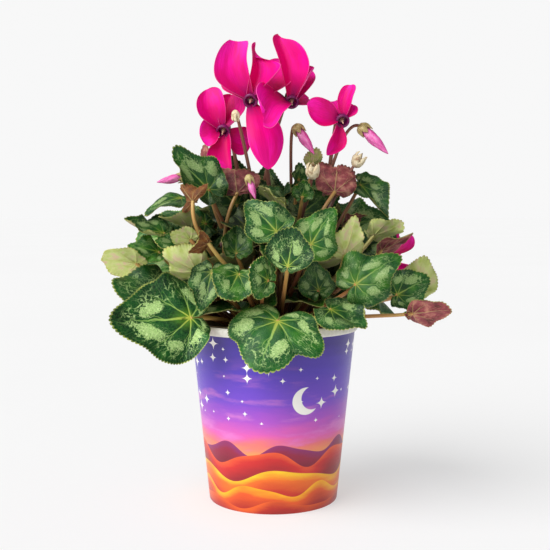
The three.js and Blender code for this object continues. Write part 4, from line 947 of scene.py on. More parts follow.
BEND_ROUNDS = 40
BEND_CLEAR = 4.9
BEND_BLADE_CLEAR = 3.4
BEND_SAMPLES = 20


def bend(tubes, leaves):
    """Stalks push each other sideways, and blades push stalks away, in proportion to what is missing."""
    share = 0.08 + 0.88 * np.arange(1, BEND_SAMPLES + 1) / BEND_SAMPLES
    owner = np.array([tube.owner for tube in tubes])
    strangers = owner[:, None] != owner[None, :]
    blades = np.concatenate([leaf.samples for leaf in leaves])
    blade_owner = np.concatenate([np.full(len(leaf.samples), leaf.owner) for leaf in leaves])
    for _ in range(BEND_ROUNDS):
        points = np.stack([along_curve(tube.curve, share) for tube in tubes])
        for i, tube in enumerate(tubes):
            apart = points[i][:, None, None, :] - points[None]
            gap = np.linalg.norm(apart, axis=-1)
            close = (gap <= BEND_CLEAR) & strangers[i][None, :, None]
            level = apart[close] * (1, 1, 0)
            length = np.linalg.norm(level, axis=-1, keepdims=True)
            level = level / np.where(length == 0, 1, length)
            push = (0.3 * (BEND_CLEAR - gap[close])[:, None] * level).sum(axis=0)
            apart = points[i][:, None, :] - blades[None]
            gap = np.linalg.norm(apart, axis=-1)
            close = (gap <= BEND_BLADE_CLEAR) & (blade_owner != tube.owner)[None, :]
            away = apart[close] / gap[close][:, None]
            push = push + (0.2 * (BEND_BLADE_CLEAR - gap[close])[:, None] * away).sum(axis=0)
            tube.push = clamped(push, 0.8)
        for tube in tubes:
            tube.curve[1] += 0.7 * tube.push
            tube.curve[2] += tube.push


plant(list(stalks.values()))
tubes = []
for owner, (name, stalk) in enumerate(stalks.items()):
    for leaf in stalk.heads:
        leaf.owner = owner
    curves = [leaf_curve(stalk, leaf) for leaf in stalk.heads] or [head_curve(stalk)]
    stalk.tubes = [SimpleNamespace(owner=owner, curve=curve, radii=stalk.radii) for curve in curves]
    tubes += stalk.tubes
bend(tubes, leaves)


# Tuber
# The corky storage tuber sits half out of the peat. All stalks spring from its flat crown.
# It is lumpy, cracked and the brown of dry bark.
TUBER_ROWS = 48
TUBER_SIDES = 96


def tuber_shell():
    """A flattened globe, taller below than above, with lumps of two sizes."""
    down = np.linspace(0, np.pi, TUBER_ROWS)[:, None]
    bearing = 2 * np.pi * np.arange(TUBER_SIDES)[None, :] / TUBER_SIDES
    x, y = np.sin(down) * np.cos(bearing), np.sin(down) * np.sin(bearing)
    z = np.cos(down) + 0 * bearing
    ball = np.stack([x, y, z], axis=-1)
    swell = 1 + 0.012 * lumps(ball, 0.35, 5) + 0.008 * lumps(ball, 0.12, 6) - 0.018
    rise = np.where(z > 0, TUBER_RISE, TUBER_DEPTH) * z
    reach = np.stack([TUBER_RADIUS * x, TUBER_RADIUS * y, rise], axis=-1)
    points = reach * swell[..., None] + (0, 0, TUBER_MIDDLE)
    return shell(points, grid_quads(TUBER_ROWS, TUBER_SIDES, True), (0, 0, 0), (0, 0, 0))


def cell_edges(tree, vector, scale):
    """Distance to the nearest border between irregular cells."""
    inputs = {"Vector": vector, "Scale": scale}
    return node(tree, "ShaderNodeTexVoronoi", inputs, feature="DISTANCE_TO_EDGE").outputs["Distance"]


bark_finish, tree, shader = finish("tuber_bark", 0.85)
bark = grain(tree, own_place(tree), 260, 6, 0.65)
cracks = cell_edges(tree, own_place(tree), 190.0)
cork = ramp(tree, bark, [(0.3, 58, 38, 26), (0.55, 104, 74, 50), (0.75, 146, 110, 78)])
cork = blend(tree, fade(tree, cracks, 0.05, 0.0, 0.0, 0.7), cork, paint(40, 26, 18))
tree.links.new(cork, shader.inputs["Base Color"])
relief(tree, shader, maths(tree, "ADD", bark, fade(tree, cracks, 0.0, 0.08)), 0.7, 0.0006)

tuber = piece("cork_tuber", [tuber_shell()], [bark_finish], ROUND_FORM)
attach(tuber, "root")
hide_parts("tuber")


# Leaves
# Heart-shaped, finely toothed blades with radiating veins and a ring of silver blotches, on fleshy stalks.
# Each grows from the crown of the tuber, and a few share one foot.
BLADE_SKIN = 0.5
VEIN_STEP = 0.76
VEIN_BEND = 0.20
TOOTH_SPACING = 1.9
TOOTH_DEPTH = 1.15
TOOTH_COLUMNS = 4
RUFFLE = 0.060
CURL = 0.23
TIP_SPIKE = 0.14
SHARES = np.array([0, 0.07, 0.17, 0.28, 0.40, 0.52, 0.64, 0.76, 0.86, 0.94, 1.0])

# Hollows in the margins of the leaves that show most: bearing, depth, span. A depth below 0 is a bulge.
HOLLOWS = {
    "leaf_01": [(-0.66, 0.20, 0.22), (0.62, 0.07, 0.22), (-1.75, 0.07, 0.25)],
    "leaf_02": [(0.95, 0.08, 0.16), (-0.6, 0.04, 0.2)],
    "leaf_04": [(0.0, 0.10, 0.22), (0.7, -0.10, 0.35), (-0.7, -0.10, 0.35)],
    "leaf_12": [(1.6, 0.28, 0.4), (-1.6, 0.28, 0.4), (0.0, 0.12, 0.18), (0.62, -0.24, 0.3),
                (-0.62, -0.24, 0.3), (2.5, 0.34, 0.5), (-2.5, 0.34, 0.5)],
    "leaf_13": [(1.35, -0.42, 0.3), (-1.35, -0.42, 0.3), (0.75, 0.2, 0.28), (-0.75, 0.2, 0.28),
                (2.4, 0.3, 0.4), (-2.4, 0.3, 0.4)],
    "leaf_15": [(1.35, -0.38, 0.3), (-1.35, -0.42, 0.3), (0.7, 0.24, 0.28), (-0.75, 0.2, 0.28),
                (2.4, 0.3, 0.4), (-2.4, 0.3, 0.4)],
    "leaf_18": [(0.8, 0.12, 0.3), (-1.2, 0.08, 0.25)],
    "leaf_19": [(1.7, 0.22, 0.5), (-1.7, 0.22, 0.5), (0.35, 0.05, 0.15)],
    "leaf_24": [(-0.8, 0.14, 0.3), (1.3, 0.08, 0.25)],
    "leaf_26": [(0.75, 0.12, 0.25), (-0.75, 0.12, 0.25), (2.1, 0.2, 0.35), (-2.1, 0.2, 0.35)],
    "leaf_31": [(0.0, 0.10, 0.2), (0.5, -0.16, 0.26), (-0.5, -0.16, 0.26), (2.2, 0.22, 0.5),
                (-2.2, 0.22, 0.5)],
    "leaf_32": [(1.6, 0.30, 0.4), (-1.6, 0.30, 0.4), (0.1, 0.10, 0.16), (0.55, -0.30, 0.3),
                (-0.52, -0.26, 0.3), (2.5, 0.34, 0.5), (-2.5, 0.34, 0.5)],
}

# Painted light and shade: how much lighter or darker than the rest the leaves that show most are painted
LEAF_PAINTED_LIGHT = {
    "leaf_01": 0.04, "leaf_02": 0.24, "leaf_03": -0.08, "leaf_04": 0.20, "leaf_07": -0.12, "leaf_08": -0.12,
    "leaf_09": -0.05, "leaf_10": -0.14, "leaf_12": -0.04, "leaf_16": -0.22, "leaf_17": -0.06, "leaf_19": 0.06,
    "leaf_21": -0.12, "leaf_22": -0.18, "leaf_23": -0.20, "leaf_24": -0.24, "leaf_25": -0.08, "leaf_26": 0.30,
    "leaf_28": -0.22, "leaf_29": -0.10, "leaf_30": -0.12, "leaf_31": 0.12, "leaf_32": 0.20,
}


def slab_shell(upper, lower, lie, trait_upper, trait_lower, look=0, wrap=False):
    """A closed thin sheet from its two faces, each rows by columns of points, with walls at its edges."""
    rows, columns = upper.shape[:2]
    top = grid_quads(rows, columns, wrap)
    count = rows * columns
    quads = [top, top[:, ::-1] + count]
    index = np.arange(count).reshape(rows, columns)
    edges = [index[0], index[-1][::-1]]
    if wrap:
        edges = [np.append(edge, edge[0]) for edge in edges]
    else:
        edges += [index[::-1, 0], index[:, -1]]
    for edge in edges:
        quads.append(np.stack([edge[1:], edge[:-1], edge[:-1] + count, edge[1:] + count], axis=-1))
    points = np.concatenate([upper.reshape(-1, 3), lower.reshape(-1, 3)])
    lies = np.tile(lie.reshape(-1, 3), (2, 1))
    traits = [np.broadcast_to(trait, (count, 3)) for trait in (trait_upper, trait_lower)]
    return shell(points, np.concatenate(quads), lies, np.concatenate(traits), look)


def vein_offset(bearing, share):
    """Bearing from the nearest main vein, in steps between veins. Veins bend to the tip as they go out."""
    place = (bearing + VEIN_BEND * share * np.sin(bearing)) / VEIN_STEP
    return place - np.round(place)


def scalloped_margin(leaf, bearing, seed):
    """The leaf's margin with a spike at its tip and its hollows or bulges, each a bell curve of the
    bearing. Leaves without any of their own get three hollows, spread by the sine of their number."""
    own = HOLLOWS.get(leaf.node) or [
        (2.0 * math.sin(2.3 * seed + 2.1 * k), 0.07 + 0.04 * math.sin(1.7 * seed + k), 0.20) for k in range(3)
    ]
    edge = margin_reach(leaf, bearing) * (1 + TIP_SPIKE * leaf.point * np.exp(-((bearing / 0.2) ** 2)))
    for middle, depth, span in own:
        edge = edge * (1 - depth * np.exp(-(((bearing - middle) / span) ** 2)))
    return edge


def blade_shell(leaf, seed, tooth_columns=TOOTH_COLUMNS):
    """Polar grid of bearing and share of the reach. The margin has rounded teeth, a frill of two sines and
    a roll to one side. The blade swells between its veins, which stand out below as ridges that thin
    outwards. Of the kind, the whole part is the colour below and the rest is the leaf's painted light and
    shade."""
    teeth = max(22, round(4.1 * leaf.size / TOOTH_SPACING))
    columns = tooth_columns * teeth + 1
    bearing = np.linspace(-(np.pi - NOTCH), np.pi - NOTCH, columns)[None, :]
    share = SHARES[:, None]
    tooth = np.abs(np.sin(np.pi * np.arange(columns) / tooth_columns))[None, :] ** 0.6
    reach = share * (1 + share**8 * TOOTH_DEPTH / leaf.size * (tooth - 0.7))
    offset = vein_offset(bearing, share)
    quilt = 0.012 * leaf.size * np.sin(np.pi * np.abs(offset)) * np.sin(np.pi * share) ** 0.8
    frill = RUFFLE * (0.35 + (0.37 * seed) % 1.0)
    ruffle = np.sin((5 + seed % 4) * bearing + 1.3 * seed)
    ruffle = ruffle + 0.5 * np.sin((11 + seed % 3) * bearing + 0.7 * seed)
    ruffle = frill * leaf.size * share**4 * ruffle
    side = 1 if seed % 3 else -1
    roll = side * CURL * leaf.size * share**4 * (0.5 + 0.5 * np.sin(bearing + 2.1 * seed)) ** 2
    away = np.abs(offset) * VEIN_STEP * share * leaf.size * 0.7
    ridge = np.exp(-((away / 0.55) ** 2)) * np.clip(1.15 - share, 0, 1) * np.clip(share * 8, 0, 1)
    edge = scalloped_margin(leaf, bearing, seed)
    form = quilt + ruffle + roll
    upper = blade_points(leaf, bearing, reach, BLADE_SKIN / 2 + form - 0.12 * ridge, edge)
    lower = blade_points(leaf, bearing, reach, -BLADE_SKIN / 2 + form - 0.5 * ridge, edge)
    flat = edge * reach
    lie = np.stack([flat * np.sin(bearing), flat * np.cos(bearing), share + 0 * bearing], axis=-1)
    # The fraction added to the colour below is the leaf's painted light and shade
    kind = leaf.under + LEAF_PAINTED_LIGHT.get(leaf.node, 0)
    return slab_shell(upper, lower, lie, (0, kind, seed), (1, kind, seed), 0)


RING_START = np.array([0.3, 1, 0.2])


def stalk_shell(curve, radii, look, seed, steps=26, sides=10):
    """Round tube along a cubic curve. Each ring is the one before it, hinged over without a twist; the
    radius tapers in a straight line with slow swellings, and closes to a point at both ends."""
    t = np.linspace(0, 1, steps + 1)
    centre = along_curve(curve, t)
    slope = along_curve(curve, np.minimum(t + 0.01, 1)) - along_curve(curve, np.maximum(t - 0.01, 0))
    slope = slope / np.linalg.norm(slope, axis=1, keepdims=True)
    side = np.zeros_like(slope)
    side[0] = unit(np.cross(slope[0], RING_START))
    for ring in range(1, len(slope)):
        side[ring] = unit(side[ring - 1] - (side[ring - 1] @ slope[ring]) * slope[ring])
    up = np.cross(slope, side)
    radius = radii[0] + (radii[1] - radii[0]) * t
    radius = radius * (1 + 0.04 * np.sin(9 * t + seed))
    centre = np.concatenate([centre[:1], centre, centre[-1:]])
    side, up = (np.concatenate([a[:1], a, a[-1:]]) for a in (side, up))
    radius = np.concatenate([[0], radius, [0]])[:, None, None]
    turn = (2 * np.pi * np.arange(sides) / sides)[None, :, None]
    points = centre[:, None] + radius * (np.cos(turn) * side[:, None] + np.sin(turn) * up[:, None])
    length = np.concatenate([[0], np.cumsum(np.linalg.norm(np.diff(centre, axis=0), axis=1))])[:, None]
    ring = 0 * length + turn[0, :, 0]
    lie = np.stack([np.cos(ring), np.sin(ring), length / 10 + 0 * ring], axis=-1).reshape(-1, 3)
    along = np.concatenate([[0], t, [1]])[:, None] + 0 * ring
    trait = np.stack([along, 0 * ring, seed + 0 * ring], axis=-1).reshape(-1, 3)
    return shell(points, grid_quads(len(centre), sides, True), lie, trait, look)


def read(tree, name):
    """The three parts of one of the mesh's own attributes, and the whole of it."""
    source = node(tree, "ShaderNodeAttribute", attribute_name=name).outputs["Vector"]
    parts = node(tree, "ShaderNodeSeparateXYZ", {0: source}).outputs
    return parts[0], parts[1], parts[2], source


def node_group(name, takes, gives):
    """A new node group with its inputs by name and kind. All that it gives are values."""
    made = bpy.data.node_groups.new(name, "ShaderNodeTree")
    for socket, kind in takes:
        made.interface.new_socket(socket, in_out="INPUT", socket_type=f"NodeSocket{kind}")
    for socket in gives:
        made.interface.new_socket(socket, in_out="OUTPUT", socket_type="NodeSocketFloat")
    return made, made.nodes.new("NodeGroupInput").outputs, made.nodes.new("NodeGroupOutput").inputs


# Painted shade: what grows deep in the bush is painted darker. The group measures the distance from the
# middle of the bush, as a share of the bush's half sizes, and the painted shade fades out between two of
# these shares.
BUSH_MIDDLE = (0.0, 0.0, 0.165)
BUSH_HALF_SIZES = (0.114, 0.074, 0.104)
SHADE_REACH = (0.34, 1.05)

painted_bush_shade, taken, given = node_group("painted_bush_shade", [("Place", "Vector"), ("Darkest", "Float")], ["Shade"])
reach = taken["Place"]
for operation, other in (("SUBTRACT", BUSH_MIDDLE), ("DIVIDE", BUSH_HALF_SIZES)):
    reach = node(painted_bush_shade, "ShaderNodeVectorMath", {0: reach, 1: other}, operation=operation).outputs[0]
reach = node(painted_bush_shade, "ShaderNodeVectorMath", {0: reach}, operation="LENGTH").outputs["Value"]
painted_bush_shade.links.new(fade(painted_bush_shade, reach, *SHADE_REACH, taken["Darkest"], 1.0), given["Shade"])


def with_painted_shade(tree, colour, darkest):
    """The colour with painted shade, darker towards the middle of the bush."""
    inputs = {"Place": own_place(tree), "Darkest": darkest}
    shade = node(tree, "ShaderNodeGroup", inputs, node_tree=painted_bush_shade).outputs["Shade"]
    return blend(tree, 1.0, colour, shade, "MULTIPLY")


leaf_finish, tree, shader = finish("leaf_skin", 0.36, Specular_IOR_Level=0.26)
flat_x, flat_y, share, _ = read(tree, "lie")
below, kind, seed, _ = read(tree, "trait")
under = maths(tree, "ROUND", kind)
# Painted light and shade: the fraction of the kind makes the whole leaf lighter or darker
painted_leaf_light = stretch(tree, less(tree, kind, under), 1.3, 1.0)
leaf_place = combined(tree, flat_x, flat_y, seed)
wander = stretch(tree, grain(tree, leaf_place, 5.0, 3), 0.20, -0.10)
plain_bearing = maths(tree, "ARCTAN2", flat_x, flat_y)
bearing = maths(tree, "ADD", plain_bearing, wander)
flat = combined(tree, flat_x, flat_y)
reach = node(tree, "ShaderNodeVectorMath", {0: flat}, operation="LENGTH").outputs["Value"]
bent = stretch(tree, times(tree, share, VEIN_BEND), maths(tree, "SINE", bearing), bearing)
steps = maths(tree, "DIVIDE", bent, VEIN_STEP)
nearest = maths(tree, "ROUND", steps)
beside = less(tree, steps, nearest)
midrib = fade(tree, maths(tree, "ABSOLUTE", nearest), 0.9, 0.1)


def vein(start, drift, width):
    """1 on a vein that leaves each main vein at share start and drifts aside; the main vein has no drift."""
    grown = maths(tree, "MAXIMUM", less(tree, share, start), 0.0)
    apart = less(tree, beside, times(tree, grown, drift))
    away = times(tree, maths(tree, "ABSOLUTE", apart), times(tree, reach, VEIN_STEP))
    half = times(tree, less(tree, 1.22, share), width)
    line = fade(tree, maths(tree, "DIVIDE", away, half), 1.3, 0.4)
    return times(tree, line, fade(tree, share, start, start + 0.02))


main_veins = vein(-0.1, 0.0, stretch(tree, midrib, 0.010, 0.010))
fork_veins = vein(0.24, 0.62, 0.007)
for fork in (vein(0.36, -0.66, 0.007), vein(0.52, 0.95, 0.005), vein(0.60, -0.95, 0.005)):
    fork_veins = maths(tree, "MAXIMUM", fork_veins, fork)
veins = maths(tree, "MAXIMUM", main_veins, times(tree, fork_veins, 0.7))

# Silver: one blotch between each two veins, smooth towards the stalk and ragged outwards, with fine
# branching lines beyond. Place, length and breadth differ from field to field.
field = maths(tree, "FLOOR", steps)
field_place = combined(tree, field, seed)
lots = node(tree, "ShaderNodeTexWhiteNoise", {"Vector": field_place}, noise_dimensions="3D").outputs["Color"]
lots = node(tree, "ShaderNodeSeparateColor", {0: lots}).outputs
between = less(tree, less(tree, steps, field), 0.5)
aside = maths(tree, "DIVIDE", between, stretch(tree, lots[2], 0.14, 0.32))
ring = maths(tree, "DIVIDE", less(tree, share, stretch(tree, lots[0], 0.12, 0.55)),
             stretch(tree, lots[1], 0.10, 0.10))
away = hypotenuse(tree, aside, ring)
blotch_noise = grain(tree, leaf_place, 11.0, 5, 0.65)
ragged = times(tree, less(tree, blotch_noise, 0.5), fade(tree, ring, -0.5, 0.9, 0.7, 4.2))
silver = fade(tree, maths(tree, "ADD", away, ragged), 1.06, 0.90)
leaf_lot = node(tree, "ShaderNodeTexWhiteNoise", {"W": seed}, noise_dimensions="1D").outputs["Value"]
enough = less(tree, lots[1], times(tree, leaf_lot, 0.55))
silver = times(tree, silver, fade(tree, enough, 0.02, 0.08))
strand_turn = stretch(tree, bearing, 5.5, times(tree, blotch_noise, 1.6))
strand_place = combined(tree, strand_turn, times(tree, share, 3.2), seed)
strands = fade(tree, cell_edges(tree, strand_place, 1.7), 0.075, 0.02)
window = times(tree, fade(tree, share, 0.42, 0.56), fade(tree, share, 0.95, 0.82))
window = times(tree, window, fade(tree, grain(tree, leaf_place, 4.0, 2), 0.38, 0.50))
silver = maths(tree, "MAXIMUM", silver, times(tree, strands, window, 0.9))
specks = fade(tree, grain(tree, leaf_place, 50.0, 3), 0.50, 0.62, 0.0, fade(tree, away, 0.3, 1.0, 0.25, 0.8))
silver = times(tree, silver, less(tree, 1.0, specks))
netting = fade(tree, cell_edges(tree, leaf_place, 34.0), 0.10, 0.02)

tone = grain(tree, combined(tree, seed, seed, seed), 1.7, 0)
shade = stretch(tree, grain(tree, leaf_place, 3.0, 4), 0.75, times(tree, tone, 0.45))
green = ramp(tree, shade, [
    (0.34, 4, 32, 16), (0.50, 10, 58, 24), (0.64, 24, 88, 28), (0.82, 74, 138, 28),
])
green = blend(tree, fade(tree, share, 0.34, 0.02, 0.0, 0.6), green, paint(104, 150, 30))
mottle = grain(tree, leaf_place, 26.0, 4, 0.7)
green = blend(tree, fade(tree, mottle, 0.46, 0.64, 0.0, 0.35), green, paint(62, 122, 44))
green = blend(tree, times(tree, netting, 0.16), green, paint(78, 134, 72))
silver_tone = ramp(tree, mottle, [(0.34, 138, 176, 100), (0.52, 170, 202, 126), (0.68, 202, 222, 156)])
green = blend(tree, times(tree, silver, 0.93), green, silver_tone)
vein_green = ramp(tree, share, [(0.0, 192, 194, 72), (0.30, 154, 190, 92), (0.95, 112, 164, 84)])
green = blend(tree, times(tree, veins, fade(tree, share, 0.3, 1.0, 0.8, 0.45)), green, vein_green)
margin = fade(tree, share, 0.970, 0.988)
broken = fade(tree, grain(tree, leaf_place, 9.0, 2), 0.40, 0.60, 0.35, 0.95)
green = blend(tree, times(tree, margin, broken), green, paint(172, 182, 92))

flush = grain(tree, leaf_place, 4.0, 4)
pale = ramp(tree, flush, [(0.3, 182, 200, 94), (0.52, 208, 218, 142), (0.68, 220, 196, 160)])
purple = ramp(tree, flush, [(0.32, 92, 28, 40), (0.52, 150, 64, 76), (0.68, 202, 138, 120)])
brown = ramp(tree, flush, [(0.3, 86, 40, 16), (0.55, 128, 68, 28), (0.75, 148, 104, 46)])
underside = blend(tree, fade(tree, under, 0.4, 0.6), pale, purple)
underside = blend(tree, fade(tree, under, 1.4, 1.6), underside, brown)
underside = blend(tree, times(tree, veins, 0.6), underside, paint(206, 184, 122))
underside = blend(tree, times(tree, netting, 0.15), underside, paint(200, 180, 130))
underside = blend(tree, times(tree, margin, 0.6), underside, paint(186, 172, 96))
skin = blend(tree, 1.0, blend(tree, below, green, underside), painted_leaf_light, "MULTIPLY")
# Painted shade: the leaves are painted darker towards the middle of the bush
tree.links.new(with_painted_shade(tree, skin, 0.22), shader.inputs["Base Color"])
dullness = stretch(tree, below, 0.2, fade(tree, flush, 0.3, 0.7, 0.27, 0.40))
tree.links.new(dullness, shader.inputs["Roughness"])
relief(tree, shader, stretch(tree, netting, -0.4, veins), 0.5, 0.0004)


# Both kinds of stalk have lengthwise streaks, and flecks of a given scale.
STREAK_STRETCH = (1.6, 1.6, 0.16)
STREAK_SCALE = 2.0

stalk_marks, taken, given = node_group(
    "stalk_marks", [("Round Place", "Vector"), ("Place", "Vector"), ("Fleck Scale", "Float")],
    ["Streaks", "Flecks"])
drawn_out = node(stalk_marks, "ShaderNodeMapping", {"Vector": taken["Round Place"], "Scale": STREAK_STRETCH})
stalk_marks.links.new(grain(stalk_marks, drawn_out.outputs[0], STREAK_SCALE, 4), given["Streaks"])
stalk_marks.links.new(grain(stalk_marks, taken["Place"], taken["Fleck Scale"], 3), given["Flecks"])


def marked(tree, fleck_scale):
    """Streaks and flecks of a stalk, from the shared group."""
    inputs = {"Round Place": read(tree, "lie")[3], "Place": own_place(tree), "Fleck Scale": fleck_scale}
    made = node(tree, "ShaderNodeGroup", inputs, node_tree=stalk_marks)
    return made.outputs["Streaks"], made.outputs["Flecks"]


stalk_finish, tree, shader = finish("leaf_stalk_skin", 0.4)
along, _, seed, _ = read(tree, "trait")
streaks, flecks = marked(tree, 500.0)
stalk_tone = grain(tree, combined(tree, seed, seed, seed), 1.3, 0)
warmth = stretch(tree, along, -0.35, stretch(tree, stalk_tone, 1.1, streaks))
skin = ramp(tree, warmth, [
    (0.35, 198, 190, 110), (0.62, 212, 176, 98), (0.88, 204, 142, 82), (1.0, 164, 98, 68),
])
skin = blend(tree, fade(tree, flecks, 0.6, 0.75, 0.0, 0.3), skin, paint(128, 74, 46))
# Painted shade: the leaf stalks are painted darker towards the middle of the bush
tree.links.new(with_painted_shade(tree, skin, 0.36), shader.inputs["Base Color"])
relief(tree, shader, streaks, 0.3, 0.0004)

for number, leaf in enumerate(leaves):
    leaf.seed = number
for number, (name, stalk) in enumerate(stalks.items()):
    if not stalk.heads:
        continue
    shells = []
    for leaf, tube in zip(stalk.heads, stalk.tubes):
        shells.append(blade_shell(leaf, leaf.seed))
        shells.append(stalk_shell(tube.curve, tube.radii, 1, number))
    grown = piece(f"grown_{name}", shells, [leaf_finish, stalk_finish])
    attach(grown, "root")
    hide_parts(name)


# Inner leaves
# Smaller leaves fill the bush between the outer ones and the stalks, and shade it. They grow from the same
# crown in three rings: count, reach and height of the stalk end, reach and height of the tip, lean.
INNER_RINGS = [
    (13, (38, 146), (64, 146), 1.0),
    (11, (30, 172), (56, 182), 0.9),
    (7, (20, 196), (42, 212), 0.8),
]
INNER_FORM = [(0.1, 0.2), (-0.5, 0.7), (-0.4, 0.5), (0.05, 0.04), (0.95, 0.2)]
INNER_POINT = 0.5
INNER_NARROW = 0.2
INNER_PIECES = 4
INNER_SEED = 60
INNER_TOOTH_COLUMNS = 2
INNER_STALK_FACES = (20, 8)
INNER_CROWN = (0.35, 0.6)

# Further leaves that close the sides of the bush: stalk end, tip, face
SIDE_LEAVES = [
    ((-62, 16, 172), (-97, 8, 167), (-0.3, -0.8, 0.7)), ((-46, 20, 184), (-79, 10, 178), (-0.3, -0.8, 0.6)),
    ((-52, 26, 202), (-84, 18, 209), (-0.4, -0.7, 0.7)), ((-42, 8, 158), (-70, -4, 154), (-0.3, -0.8, 0.6)),
    ((-70, 26, 190), (-102, 20, 188), (-0.3, -0.7, 0.8)), ((58, 18, 178), (90, 10, 181), (0.3, -0.8, 0.6)),
    ((32, 4, 159), (58, -4, 168), (0.2, -0.8, 0.6)), ((48, 22, 194), (79, 16, 201), (0.3, -0.8, 0.6)),
    ((56, 10, 158), (84, -2, 152), (0.3, -0.8, 0.6)), ((-26, 28, 214), (-31, 24, 239), (-0.1, -0.95, 0.2)),
    ((-2, 30, 216), (2, 26, 241), (0.1, -0.95, 0.2)), ((-8, 24, 204), (-16, 20, 232), (-0.1, -0.95, 0.2)),
    ((12, 28, 206), (20, 24, 234), (0.1, -0.95, 0.2)), ((28, 20, 206), (50, 12, 222), (0.2, -0.9, 0.4)),
    ((-24, 20, 208), (-46, 14, 224), (-0.2, -0.9, 0.4)),
]
SIDE_FORM = INNER_FORM[:3] + [(0.06, 0.04)] + INNER_FORM[4:]

for leaf in leaves:
    leaf.held = True
draw = mulberry(31)
inner = []


def add_inner(foot, tip, face, form, under):
    """The next inner leaf. They are dealt out to the pieces in turn."""
    number = len(inner)
    name = f"inner_{1 + number % INNER_PIECES}"
    inner.append(new_leaf(name, number, 1.9, foot, tip, face, drawn(draw, form), INNER_POINT, INNER_NARROW,
                          under))


for ring, (count, foot_place, tip_place, lean) in enumerate(INNER_RINGS):
    for i in range(count):
        bearing = 2 * math.pi * (i + 0.5 * ring + 0.5 * (next(draw) - 0.5)) / count
        side = np.array([math.cos(bearing), math.sin(bearing), 0])
        aim = bearing + 0.7 * (next(draw) - 0.5)
        rise = 14 * (next(draw) - 0.5)
        tip = (tip_place[0] * math.cos(aim), tip_place[0] * math.sin(aim), tip_place[1] + rise)
        stalk_end = side * foot_place[0] + (0, 0, foot_place[1] + rise)
        add_inner(stalk_end, tip, side * lean + (0, 0, 1), INNER_FORM, PALE if len(inner) % 3 else PURPLE)
for foot, tip, face in SIDE_LEAVES:
    add_inner(foot, tip, face, SIDE_FORM, PALE)
settle(inner + leaves)
for group in range(INNER_PIECES):
    shells = []
    for number, leaf in list(enumerate(inner))[group::INNER_PIECES]:
        spot = (INNER_CROWN[0] + INNER_CROWN[1] * (number + 0.5) / len(inner)) * CROWN_RADIUS
        bearing = math.atan2(leaf.foot[1], leaf.foot[0])
        crown = TUBER_MIDDLE + TUBER_RISE * math.sqrt(1 - (spot / TUBER_RADIUS) ** 2)
        rooted = SimpleNamespace(root=np.array([spot * math.cos(bearing), spot * math.sin(bearing), crown]))
        seed = INNER_SEED + number
        shells.append(blade_shell(leaf, seed, INNER_TOOTH_COLUMNS))
        shells.append(stalk_shell(leaf_curve(rooted, leaf), LEAF_STALK, 1, seed, *INNER_STALK_FACES))
    filler = piece(f"inner_leaves_{group + 1}", shells, [leaf_finish, stalk_finish])
    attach(filler, "root")


# Flowers
# Five twisted magenta petals swept back from a dark mouth, with a pale style in it and a small green calyx
# behind. Each hangs from the hook of its own stalk.
PETAL_SKIN = 0.45
PETAL_ROWS = 40
PETAL_COLUMNS = 22
PETAL_SEAT = (3.2, -1.8)
SEPALS = 5
SEPAL_WALL = 0.25
CALYX_ROWS = 12
CALYX_SIDES = 40
FLOWER_CALYX = (-13.6, 8.2, (1.5, 3.2, 3.9, 4.1, 4.6))
FLOWER_CALYX_DEPTH = 0.5
FLOWER_SEED = 60
HEAD_STALK_FACES = (40, 12)


def aimed(points, place, axis):
    """Stands what was made round the z axis at place, with z along axis."""
    side = unit(np.cross(axis, RING_START))
    up = np.cross(axis, side)
    return place + points @ np.array([side, up, axis])


def aimed_shell(made, place, axis, look):
    """A turned shell, aimed, with its look."""
    made.points = aimed(made.points, place, axis)
    made.looks = np.full(len(made.faces), look)
    return made


# How each petal departs from a plain strip: share of the length and of the width, bow and drift of the tip
# to the right, tip from pointed (-1) to flat (1), more breadth to the right, depth of a crease, slant of the
# tip up to the right
PLAIN_WAY = (1.0, 1.0, 0.05, 0.0, -0.1, 0.0, 0.1, 0.0)
PETAL_WAYS = {
    "flower_1": [
        (1.0, 0.92, -0.20, 0.26, 0.7, -0.16, 0.10, -0.06), (1.0, 1.20, 0.26, -0.22, -0.7, 0.34, 0.55, -0.18),
        (1.0, 1.10, 0.10, 0.0, 0.1, 0.1, 0.2, -0.05), (1.0, 1.0, -0.10, -0.08, -0.7, -0.1, 0.12, 0.0),
        (0.8, 1.0, -0.1, 0.0, 0.2, 0.0, 0.1, 0.0),
    ],
    "flower_2": [
        (1.0, 0.86, -0.06, 0.12, 0.1, -0.1, 0.25, 0.0), (0.95, 0.95, 0.05, 0.0, -0.3, 0.1, 0.6, 0.0),
        (1.05, 1.1, 0.2, 0.3, -1.0, 0.0, 0.5, 0.0), (0.9, 1.2, -0.05, -0.1, 0.1, 0.0, 0.1, 0.0),
        (0.9, 1.2, 0.1, 0.0, 0.0, 0.0, 0.2, 0.0),
    ],
    "flower_3": [
        (0.97, 0.80, 0.14, -0.14, 0.35, 0.16, 0.62, -0.05), (1.0, 1.0, -0.10, -0.15, 0.0, 0.1, 0.3, 0.0),
        (1.0, 1.05, -0.05, -0.25, -0.2, 0.1, 0.4, 0.0), (1.0, 1.30, 0.16, -0.12, 0.7, 0.12, 0.15, -0.16),
        (0.62, 1.0, 0.0, -0.1, 0.0, 0.0, 0.2, 0.0),
    ],
    "flower_4": [
        (1.0, 0.96, -0.16, 0.0, 0.4, 0.1, 0.45, 0.05), (0.95, 0.72, -0.14, -0.05, 0.5, 0.1, 0.1, 0.02),
        (1.05, 0.9, -0.2, -0.1, -0.7, 0.0, 0.5, 0.0), (0.6, 0.9, 0.1, 0.0, 0.3, 0.0, 0.1, 0.0),
        (0.6, 1.0, 0.0, 0.0, 0.0, 0.0, 0.1, 0.0),
    ],
}
CREASE_PLACE = -0.32


